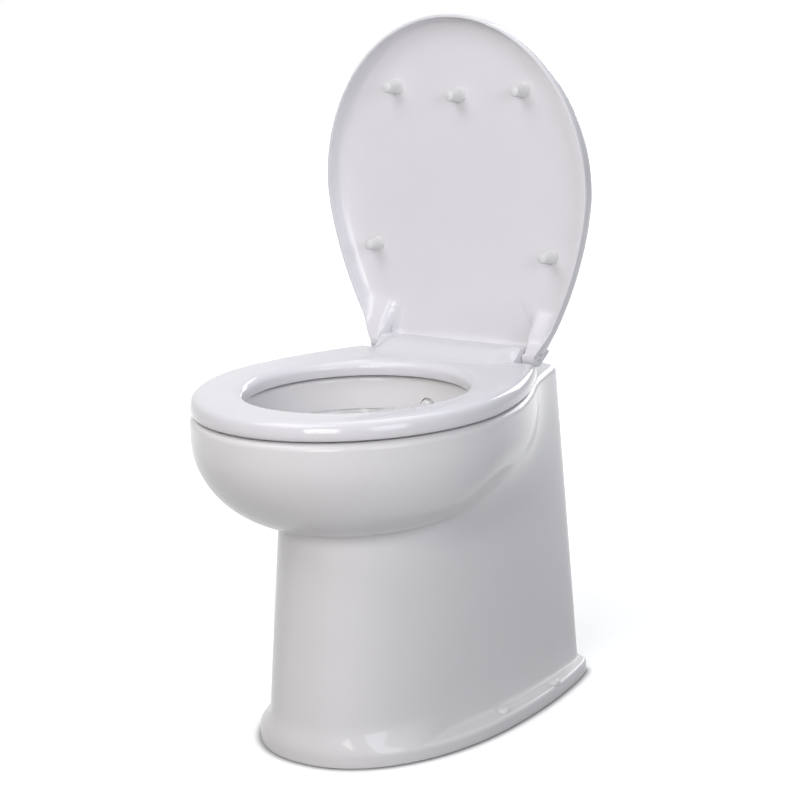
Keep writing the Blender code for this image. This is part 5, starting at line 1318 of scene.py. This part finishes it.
@dataclass
class Machinery:
    """The macerator pump with its motor, the outlet, the discharge and the rinse valve."""

    axis_z: float = 0.0720
    pump_y: float = 0.0330
    pump_length: float = 0.0557
    plate_y: float = 0.0890
    case_y: float = 0.0953
    case_length: float = 0.0974
    case_radius: float = 0.0395
    case_wall: float = 0.0025
    cap_y: float = 0.1930
    cradle_y: float = 0.1440
    cradle_half: float = 0.0520
    cradle_top: float = 0.0570
    port_y: float = 0.0655
    port_top: float = 0.1340
    swivel_z: float = 0.1343
    valve: Point = (0.0700, 0.1760, 0.1850)
    valve_half: float = 0.0150
    nozzle_end: Point = (0.0, 0.1019, 0.3600)

    def build(self) -> None:
        """Models every piece that shows through the door."""
        self.outlet()
        self.pump()
        self.motor()
        self.cradle()
        self.strap()
        self.discharge()
        self.rinse_valve()
        self.hose()

    def outlet(self) -> None:
        """The rubber sleeve, its two clamps and the outlet elbow."""
        foot, top, inner, outer, lip = 0.1507, 0.1830, 0.0303, 0.0353, 0.0008
        sleeve = turned("sleeve", barrel(foot, top, outer, lip, inner), (0.0, SUMP_Y, 0.0), steps=96)
        dress(sleeve, NITRILE, "china", "outlet_sleeve")
        self.clamp("upper", 0.1750)
        self.clamp("lower", 0.1587)
        bend, end_z, collar_top = 0.040, self.axis_z, 0.1667
        route = [(0.0, SUMP_Y, 0.1587), (0.0, SUMP_Y, 0.1350)]
        route += [(0.0, y, z) for y, z in arc((SUMP_Y + bend, end_z + bend), bend, 180, 270, 25)]
        route.append((0.0, self.pump_y - GAP, end_z))
        elbow = swept("elbow", route, 0.0265, 64)
        collar = turned("collar", barrel(foot, collar_top, 0.0300, lip), (0.0, SUMP_Y, 0.0), steps=96)
        combine(elbow, collar, Cut.TOGETHER)
        ends = [(0.0, SUMP_Y, collar_top + OVERRUN), *route[1:-1], (0.0, self.pump_y + OVERRUN, end_z)]
        combine(elbow, swept("bore", ends, 0.0220, 64), Cut.AWAY)
        dress(elbow, GREY_PLASTIC, "china", "outlet_elbow", angle=40.0)

    def clamp(self, word: str, height: float) -> None:
        """Models a worm-drive clamp with a slotted band and a hexagonal screw.

        Args:
            word: Upper or lower.
            height: The height of its middle.
        """
        inner, outer, half, lip = 0.0356, 0.0368, 0.0045, 0.0003
        place = (0.0, SUMP_Y, height)
        band = turned(f"clamp_{word}", barrel(-half, half, outer, lip, inner), place, steps=96)
        for number in range(9):
            slot = put(block("slot", (0.0060, 0.0012, 0.0056), ORIGIN, 0.0004, 2), Matrix.Translation(place),
                       Matrix.Rotation(math.radians(28 + 6 * number), 4, "Z"),
                       Matrix.Translation((outer, 0.0, 0.0)))
            combine(band, slot, Cut.AWAY)
        centre = (outer + 0.0033, SUMP_Y, height)
        housing = block("housing", (0.0062, 0.0130, 0.0086), centre, 0.0016, 3)
        combine(band, housing, Cut.TOGETHER)
        screw = turned("screw", [(0.0, 0.0100), (0.0030, 0.0100), (0.0034, 0.0096), (0.0034, 0.0062),
                                 (0.0026, 0.0060), (0.0026, -0.0090), (0.0, -0.0090)], centre, Axis.Y, 6)
        combine(band, screw, Cut.TOGETHER)
        dress(band, BRUSHED_STEEL, "china", f"outlet_clamp_{word}")

    def pump(self) -> None:
        """Models the pump's casing with its port, its bosses and the plate behind it."""
        length = self.pump_length
        outline = through([(0.0400, 0.0), (0.0432, 0.0007), (0.0450, 0.0026), (0.0455, 0.0060)], 4)
        profile = [(0.0220, 0.0), *(tuple(row) for row in outline), (0.0448, length - 0.0090),
                   (0.0452, length - 0.0076), (0.0460, length - 0.0068), (0.0460, length - 0.0006),
                   (0.0454, length), (0.0415, length), (0.0415, 0.0050), (0.0220, 0.0050)]
        place = (0.0, self.pump_y, self.axis_z)
        casing = turned("pump_casing", profile, place, Axis.Y, 96)
        boss = [(0.0, 0.0200), (0.0048, 0.0200), (0.0048, 0.0016), (0.0030, 0.0), (0.0, 0.0)]
        self.six(casing, boss, 0.0410, self.pump_y + length - 0.0206, 24)
        drill(casing, barrel(0.0050, length + OVERRUN, 0.0415), place, Axis.Y, 96)
        top = self.port_top
        port = turned("port", [(0.0, top), (0.0184, top), (0.0190, top - 0.0006), (0.0190, top - 0.0180),
                               (0.0196, top - 0.0200), (0.0196, top - 0.0235), (0.0, top - 0.0235)],
                      (0.0, self.port_y, 0.0), steps=64)
        combine(casing, port, Cut.TOGETHER)
        drill(casing, barrel(top - 0.0465, top + OVERRUN, 0.0135), (0.0, self.port_y, 0.0), steps=64)
        dress(casing, NYLON, "china", "pump_housing")
        plate = turned("pump_plate", [(0.0367, 0.0130), (0.0367, 0.0060), (0.0452, 0.0060), (0.0460, 0.0052),
                                      (0.0460, 0.0008), (0.0454, 0.0), (0.0050, 0.0), (0.0050, 0.0057),
                                      (0.0113, 0.0057), (0.0113, 0.0130)], (0.0, self.plate_y, self.axis_z),
                       Axis.Y, 96)
        head = [(0.0, 0.0030), (0.0022, 0.0030), (0.0027, 0.0025), (0.0027, 0.0), (0.0, 0.0)]
        self.six(plate, head, 0.0427, self.plate_y + 0.0055, 6)
        dress(plate, CAST_ALUMINIUM, "china", "motor_front_plate")

    def six(self, piece: Piece, profile: Profile, radius: float, y: float, steps: int) -> None:
        """Joins six bosses or screw heads to a piece, evenly round the pump's axis.

        Args:
            piece: The piece.
            profile: Their (radius, height) points.
            radius: How far they stand from the axis.
            y: Where the profile's zero stands along the axis.
            steps: Their sides.
        """
        for x, z in arc((0.0, self.axis_z), radius, 30, 330, 6):
            combine(piece, turned("boss", profile, (x, y, z), Axis.Y, steps), Cut.TOGETHER)

    def motor(self) -> None:
        """Models the drawn case with its crimps and the ribbed end cap."""
        radius, wall, length = self.case_radius, self.case_wall, self.case_length
        outline = [(radius - 0.0005, 0.0), (radius, 0.0005), (radius, 0.0072), (radius - 0.0007, 0.0082),
                   (radius - 0.0007, 0.0100), (radius, 0.0110)]
        outline += [(out, length - along) for out, along in outline[::-1]]
        case = turned("motor_can", [*outline, (radius - wall, length), (radius - wall, 0.0)],
                      (0.0, self.case_y, self.axis_z), Axis.Y, 96)
        dress(case, MOTOR_ENAMEL, "china", "motor_case")
        cap = turned("motor_cap", [
            (0.0, 0.0120), (0.0080, 0.0120), (0.0094, 0.0114), (0.0100, 0.0100), (0.0106, 0.0090),
            (0.0262, 0.0090), (0.0276, 0.0096), (0.0284, 0.0118), (0.0296, 0.0128), (0.0330, 0.0130),
            (0.0362, 0.0124), (0.0384, 0.0106), (0.0393, 0.0080), (radius, 0.0050), (radius, 0.0),
            (0.0367, 0.0), (0.0367, -0.0070), (0.0113, -0.0070), (0.0113, 0.0003), (0.0050, 0.0003),
            (0.0050, 0.0080), (0.0, 0.0080),
        ], (0.0, self.cap_y, self.axis_z), Axis.Y, 96)
        for turn in np.arange(0, 360, 30):
            rib = put(block("rib", (0.0190, 0.0030, 0.0016), ORIGIN, 0.0005, 2),
                      Matrix.Translation((0.0, self.cap_y + 0.0098, self.axis_z)),
                      Matrix.Rotation(math.radians(turn), 4, "Y"), Matrix.Translation((0.0185, 0.0, 0.0)))
            combine(cap, rib, Cut.TOGETHER)
        dress(cap, NYLON, "china", "motor_end_cap")

    def cradle(self) -> None:
        """Models the moulded saddle with its rounded rims and pockets."""
        top, foot, half, depth = self.cradle_top, 0.0126, self.cradle_half, 0.0640
        cradle = block("cradle", (2 * half, depth, top - foot), (0.0, self.cradle_y, (top + foot) / 2),
                       0.0016, 3)
        drill(cradle, barrel(-0.0400, 0.0400, self.case_radius + GAP), (0.0, self.cradle_y, self.axis_z),
              Axis.Y, 96)
        for side in (-1, 1):
            for along in (-0.0165, 0.0165):
                pocket = block("pocket", (0.0060, 0.0260, 0.0300),
                               (side * half, self.cradle_y + along, 0.0345), 0.0014, 3)
                combine(cradle, pocket, Cut.AWAY)
        dress(cradle, GREY_PLASTIC, "china", "motor_cradle")
        mat = block("mat", (2 * half, depth, 0.0080), (0.0, self.cradle_y, 0.0083), 0.0014, 4)
        dress(mat, NITRILE, "china", "rubber_mount")

    def strap(self) -> None:
        """Models the steel strap over the motor, with a screw at each end."""
        foot_z, thick, half, width, screw_x = self.cradle_top + GAP, 0.0016, self.cradle_half, 0.0180, 0.0468
        level = foot_z - self.axis_z
        inner = self.case_radius + GAP
        outer = inner + thick
        start, end = (math.degrees(math.asin(rise / radius))
                      for rise, radius in ((level + thick, outer), (level, inner)))
        outline = [(half, level), (half, level + thick), *arc((0.0, 0.0), outer, start, 180 - start, 49),
                   (-half, level + thick), (-half, level), *arc((0.0, 0.0), inner, 180 - end, end, 49)]
        strap = plate("strap", outline, self.cradle_y - width / 2, self.cradle_y + width / 2,
                      lambda x, z, y: (x, y, z + self.axis_z))
        rounded(strap, 0.0004, 2, 60.0)
        head = [(0.0, 0.0028), (0.0018, 0.0027), (0.0032, 0.0018), (0.0036, 0.0004), (0.0036, -0.0004),
                (0.0, -0.0004)]
        for side in (-1, 1):
            x = side * screw_x
            combine(strap, turned("screw", head, (x, self.cradle_y, foot_z + thick), steps=32), Cut.TOGETHER)
            combine(strap, block("slot", (0.0050, 0.0009, 0.0016), (x, self.cradle_y, 0.0617)), Cut.AWAY)
        dress(strap, BRUSHED_STEEL, "china", "motor_strap")

    def discharge(self) -> None:
        """Models the swivelling elbow with its barbed end."""
        bend, start, end_y = 0.0230, self.swivel_z, 0.1355
        bend_z = start + 0.0220
        route = [(0.0, self.port_y, start + 0.0010), (0.0, self.port_y, bend_z - 0.0080)]
        route += [(0.0, y, z) for y, z in arc((self.port_y + bend, bend_z), bend, 180, 90, 25)]
        radii = [0.0165] * (len(route) + 1)
        reaches = [0.1070]
        for barb_y in (0.1108, 0.1198, 0.1288):
            reaches += [barb_y, barb_y + 0.0006, barb_y + 0.0011, barb_y + 0.0052]
            radii += [0.0162, 0.0178, 0.0180, 0.0163]
        route += [(0.0, along, bend_z + bend) for along in (*reaches, 0.1350, end_y)]
        elbow = swept("discharge_bend", route, [*radii, 0.0159, 0.0152], 56)
        inner, outer, depth = 0.0196, 0.0218, 0.01025
        cap = turned("cap", [(0.0, 0.0045), (inner, 0.0045), (0.0210, 0.0039), (outer, 0.0026),
                             (outer, 0.0012 - depth), (outer - 0.0010, -depth), (inner, -depth), (inner, 0.0),
                             (0.0, 0.0)], (0.0, self.port_y, start), steps=64)
        combine(elbow, cap, Cut.TOGETHER)
        bore = [(0.0, self.port_y, start - OVERRUN), *route[1:27], (0.0, end_y + OVERRUN, bend_z + bend)]
        combine(elbow, swept("bore", bore, 0.0125, 56), Cut.AWAY)
        dress(elbow, GREY_PLASTIC, "discharge", "discharge_elbow", angle=40.0)

    def rinse_valve(self) -> None:
        """Models the solenoid valve, its moulded coil and the steel bracket that holds them."""
        x, y, z = self.valve
        half, well = self.valve_half, 0.0062
        body = block("valve_body", (2 * half, 2 * half, 2 * half), self.valve, 0.0018, 4)
        barbed = [(0.0, 0.0200), (0.0038, 0.0200), (0.0046, 0.0168), (0.0040, 0.0165), (0.0040, 0.0140),
                  (0.0046, 0.0108), (0.0040, 0.0105), (0.0040, 0.0020), (0.0052, 0.0006), (0.0052, -0.0060),
                  (0.0, -0.0060)]
        for side in (-1, 1):
            spigot = put(turned("spigot", barbed, ORIGIN, steps=32),
                         Matrix.Translation((x, y + side * half, z)),
                         Matrix.Rotation(-side * math.pi / 2, 4, "X"))
            combine(body, spigot, Cut.TOGETHER)
            drill(body, barrel(-0.0130, 0.0130, 0.0023), (x, y + side * (half + 0.0110), z), Axis.Y, 24)
        drill(body, barrel(-0.0100, 0.0100, well), (x, y, z + half))
        dress(body, NYLON, "china", "solenoid_valve_body")
        coil = turned("valve_coil", [
            (0.0, 0.0360), (0.0100, 0.0360), (0.0124, 0.0354), (0.0142, 0.0340), (half, 0.0316),
            (half, 0.0012), (0.0142, 0.0), (well, 0.0), (well, 0.0324), (0.0, 0.0324),
        ], (x, y, z + half + GAP), steps=64)
        plug = block("plug", (0.0120, 0.0080, 0.0140), (x, y + 0.0150, z + half + 0.0190), 0.0014, 3)
        combine(coil, plug, Cut.TOGETHER)
        for side in (-1, 1):
            blade = block("blade", (0.0008, 0.0070, 0.0050),
                          (x + side * 0.0030, y + 0.0215, z + half + 0.0190), 0.0002, 1)
            combine(coil, blade, Cut.TOGETHER)
        dress(coil, COIL_RESIN, "china", "solenoid_coil")
        near, thick, foot, width = 0.0853, 0.0025, 0.0043, 0.0300
        far = near + thick
        inner, outer = 0.0020, 0.0045
        outline = [(near, z + half), *arc((near - inner, foot + thick + inner), inner, 0, -90, 9),
                   (near - width, foot + thick), (near - width, foot),
                   *arc((far - outer, foot + outer), outer, -90, 0, 9), (far, z + half)]
        bracket = plate("bracket", outline, y - width / 2, y + width / 2, lambda a, b, c: (a, c, b))
        rounded(bracket, 0.0004, 2, 60.0)
        dress(bracket, BRUSHED_STEEL, "china", "valve_bracket")

    def hose(self) -> None:
        """Models the rinse hose from the nozzle down to the valve."""
        x, y, z = self.valve
        start_y, top = self.nozzle_end[1], self.nozzle_end[2]
        bend, straight, end_y = 0.0240, 0.0250, y - self.valve_half - GAP
        half_turn = 1.0 - math.sqrt(0.5)
        top_y = start_y + straight
        low_y = end_y - straight - bend
        fall = top - z - 2 * bend
        middle = [(0.0, start_y + 0.0200, top), (0.0, top_y, top),
                  (x * 0.03, top_y + bend * (1 - half_turn), top - bend * half_turn),
                  (x * 0.14, top_y + bend, top - bend),
                  (x * 0.50, top_y + bend + (low_y - top_y - bend) * 0.12, top - bend - fall * 0.34),
                  (x * 0.86, top_y + bend + (low_y - top_y - bend) * 0.60, top - bend - fall * 0.70),
                  (x, low_y, z + bend), (x, low_y + bend * half_turn, z + bend * half_turn),
                  (x, low_y + bend, z), (x, end_y - 0.0200, z)]
        route = [tuple(row) for row in through([(0.0, start_y, top), *middle, (x, end_y, z)], 6)]
        hose = swept("water_hose", route, 0.0075, 32)
        ends = [(0.0, start_y - OVERRUN, top), *route[1:-1], (x, end_y + OVERRUN, z)]
        combine(hose, swept("bore", ends, 0.0056, 32), Cut.AWAY)
        dress(hose, HOSE_PVC, "china", "rinse_hose")


# Studio


@dataclass
class Studio:
    """Floor, lamps, world and the camera at the photograph's viewing angle."""

    azimuth: float = math.radians(36.792)
    elevation: float = math.radians(13.111)
    roll: float = math.radians(-2.219)
    distance: float = 2.6
    lens: float = 36.0 * 2256.8 / 800.0
    aside: float = 0.039
    height: float = 0.392
    depth: float = -0.034
    aim: Point = (0.0, 0.0, 0.35)
    floor_size: float = 14.0
    floor_paint: float = 0.62
    floor_bounce: float = 0.42
    near: float = 0.5
    far: float = 1.8
    near_glow: float = 0.60
    far_glow: float = 1.2
    # How far from the foot the floor's glow is darkened, as a painted contact shadow
    painted_shadow_reach: float = 0.010
    surround: float = 0.14

    @staticmethod
    def seen(tree: Tree) -> bpy.types.NodeSocket:
        """Adds the test for rays that the camera sees, straight or in a glossy or clear surface.

        Args:
            tree: The node tree that gets the test.

        Returns:
            A socket that is 1 for such a ray and 0 for any other.
        """
        path = add_node(tree, "ShaderNodeLightPath")
        either = add_node(tree, "ShaderNodeMath", {0: path.outputs["Is Camera Ray"],
                                                   1: path.outputs["Is Glossy Ray"]}, operation="MAXIMUM")
        found = add_node(tree, "ShaderNodeMath", {0: either.outputs[0],
                                                  1: path.outputs["Is Transmission Ray"]},
                         operation="MAXIMUM")
        return found.outputs[0]

    def floor(self) -> None:
        """A plain pale floor that the camera sees white where nothing shades it; next to the foot its glow is
        darkened into a painted contact shadow.
        """
        deselect()
        bpy.ops.mesh.primitive_plane_add(size=self.floor_size, location=(0.0, 0.0, -GAP))
        piece = bpy.context.object
        settle(piece, "studio_floor")
        made = bpy.data.materials.new("studio_floor_paint")
        made.use_nodes = True
        tree = made.node_tree
        tree.nodes.clear()
        seen = self.seen(tree)
        place = add_node(tree, "ShaderNodeTexCoord")
        away = add_node(tree, "ShaderNodeVectorMath", {0: place.outputs["Object"]}, operation="LENGTH")
        fade = add_node(tree, "ShaderNodeMapRange",
                        {"Value": away.outputs["Value"], "From Min": self.near, "From Max": self.far,
                         "To Min": self.near_glow, "To Max": self.far_glow})
        # Painted contact shadow: an occlusion test darkens the floor's glow where it lies within this reach
        # of the foot
        open_sky = add_node(tree, "ShaderNodeAmbientOcclusion", {"Distance": self.painted_shadow_reach})
        painted_contact_shadow = add_node(tree, "ShaderNodeMapRange", {"Value": open_sky.outputs["AO"], "From Min": 0.55,
                                                        "From Max": 1.0, "To Min": 0.0, "To Max": 1.0})
        glows = add_node(tree, "ShaderNodeMath", {0: fade.outputs[0], 1: painted_contact_shadow.outputs[0]},
                         operation="MULTIPLY")
        paint = add_node(tree, "ShaderNodeBsdfDiffuse", {"Color": (*[self.floor_paint] * 3, 1.0)})
        glow = add_node(tree, "ShaderNodeEmission", {"Color": (1.0, 1.0, 1.0, 1.0),
                                                     "Strength": glows.outputs[0]})
        lit = add_node(tree, "ShaderNodeAddShader", {0: paint.outputs[0], 1: glow.outputs[0]})
        matt = add_node(tree, "ShaderNodeBsdfDiffuse", {"Color": (*[self.floor_bounce] * 3, 1.0)})
        mixed = add_node(tree, "ShaderNodeMixShader", {0: seen, 1: matt.outputs[0],
                                                       2: lit.outputs[0]})
        add_node(tree, "ShaderNodeOutputMaterial", {"Surface": mixed.outputs[0]})
        piece.data.materials.append(made)

    def world(self) -> None:
        """An even pale surround that the camera sees white."""
        world = bpy.data.worlds.new("studio_surround")
        world.use_nodes = True
        bpy.context.scene.world = world
        tree = world.node_tree
        tree.nodes.clear()
        soft = add_node(tree, "ShaderNodeBackground",
                        {"Color": (0.96, 0.97, 1.0, 1.0), "Strength": self.surround})
        white = add_node(tree, "ShaderNodeBackground", {"Color": (1.0, 1.0, 1.0, 1.0), "Strength": 1.0})
        mixed = add_node(tree, "ShaderNodeMixShader", {0: self.seen(tree), 1: soft.outputs[0],
                                                       2: white.outputs[0]})
        add_node(tree, "ShaderNodeOutputWorld", {"Surface": mixed.outputs[0]})

    def lamp(self, name: str, place: Point, size: float, watts: float, colour: str) -> None:
        """A square soft light that faces the toilet.

        Args:
            name: Its name.
            place: Where it hangs.
            size: The length of its side.
            watts: Its power.
            colour: Its sRGB hex colour.
        """
        light = bpy.data.lights.new(name, "AREA")
        light.size = size
        light.energy = watts
        light.color = linear(colour)[:3]
        lamp = bpy.data.objects.new(name, light)
        bpy.context.scene.collection.objects.link(lamp)
        lamp.location = place
        lamp.rotation_euler = (Vector(self.aim) - Vector(place)).to_track_quat("-Z", "Y").to_euler()

    def camera(self) -> None:
        """The camera, turned and rolled as the photograph was taken."""
        side = Vector((math.cos(self.azimuth), math.sin(self.azimuth), 0.0))
        back = Vector((math.sin(self.azimuth) * math.cos(self.elevation),
                       -math.cos(self.azimuth) * math.cos(self.elevation), math.sin(self.elevation)))
        up = back.cross(side)
        across = side * math.cos(self.roll) + up * math.sin(self.roll)
        upright = up * math.cos(self.roll) - side * math.sin(self.roll)
        target = Vector((0.0, self.depth, self.height)) + side * self.aside
        data = bpy.data.cameras.new("studio_camera")
        data.lens = self.lens
        data.sensor_width = 36.0
        camera = bpy.data.objects.new("studio_camera", data)
        bpy.context.scene.collection.objects.link(camera)
        camera.matrix_world = Matrix.Translation(target + back * self.distance) @ Matrix(
            (across, upright, back)).transposed().to_4x4()
        bpy.context.scene.camera = camera

    def build(self) -> None:
        """Sets up the whole studio."""
        self.floor()
        self.world()
        self.lamp("key_front", (0.95, -2.61, 1.47), 1.2, 29.0, "FFFAF4")
        self.lamp("fill_right", (2.52, -1.18, 1.47), 1.2, 20.0, "EDF0FF")
        self.lamp("fill_front", (-0.35, -0.90, 1.90), 1.2, 13.5, "FAF9FF")
        self.lamp("top_back", (0.0, 0.60, 2.20), 1.2, 10.0, "F2F9FF")
        self.lamp("fill_back", (-0.3, 3.00, 1.50), 1.6, 32.0, "FBFCFF")
        self.camera()
        bpy.context.scene.view_settings.view_transform = "Standard"


# The CAD solids that stay, with the finish of each
KEPT_NODES = {
    BRUSHED_STEEL: ("floor_screw_1", "floor_screw_2", "floor_screw_3", "floor_screw_4", "hinge_stud_left",
                    "hinge_stud_right", "chopper_plate", "motor_shaft", "chopper_blade", "bearing_front",
                    "bearing_rear", "solenoid_plunger", "plunger_spring"),
    NITRILE: ("hinge_washer_left", "hinge_washer_right", "shaft_seal", "joker_valve"),
    NYLON: ("hinge_wing_nut_left", "hinge_wing_nut_right", "impeller"),
    GREY_PLASTIC: ("floor_tray",),
    CAP_PLASTIC: ("rinse_nozzle",),
    ELASTOMER: ("nozzle_grommet",),
    LACQUERED_COPPER: ("rotor_core",),
}


def dress_kept_nodes() -> None:
    """Gives every CAD solid that stays its own finish."""
    for finish, names in KEPT_NODES.items():
        for name in names:
            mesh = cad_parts[name].data
            mesh.materials.clear()
            mesh.materials.append(finish.material())
        LOG.info("%s on %d kept nodes", finish.name, len(names))


def main() -> None:
    """Builds the studio and every sub-assembly."""
    logging.basicConfig(level=logging.INFO, format="%(message)s")
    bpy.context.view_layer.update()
    Studio().build()
    China().build()
    FloorFixings().build()
    Seat().build()
    Lid().build()
    Hinges().build()
    Machinery().build()
    dress_kept_nodes()
    deselect()


if __name__ == "__main__":
    main()
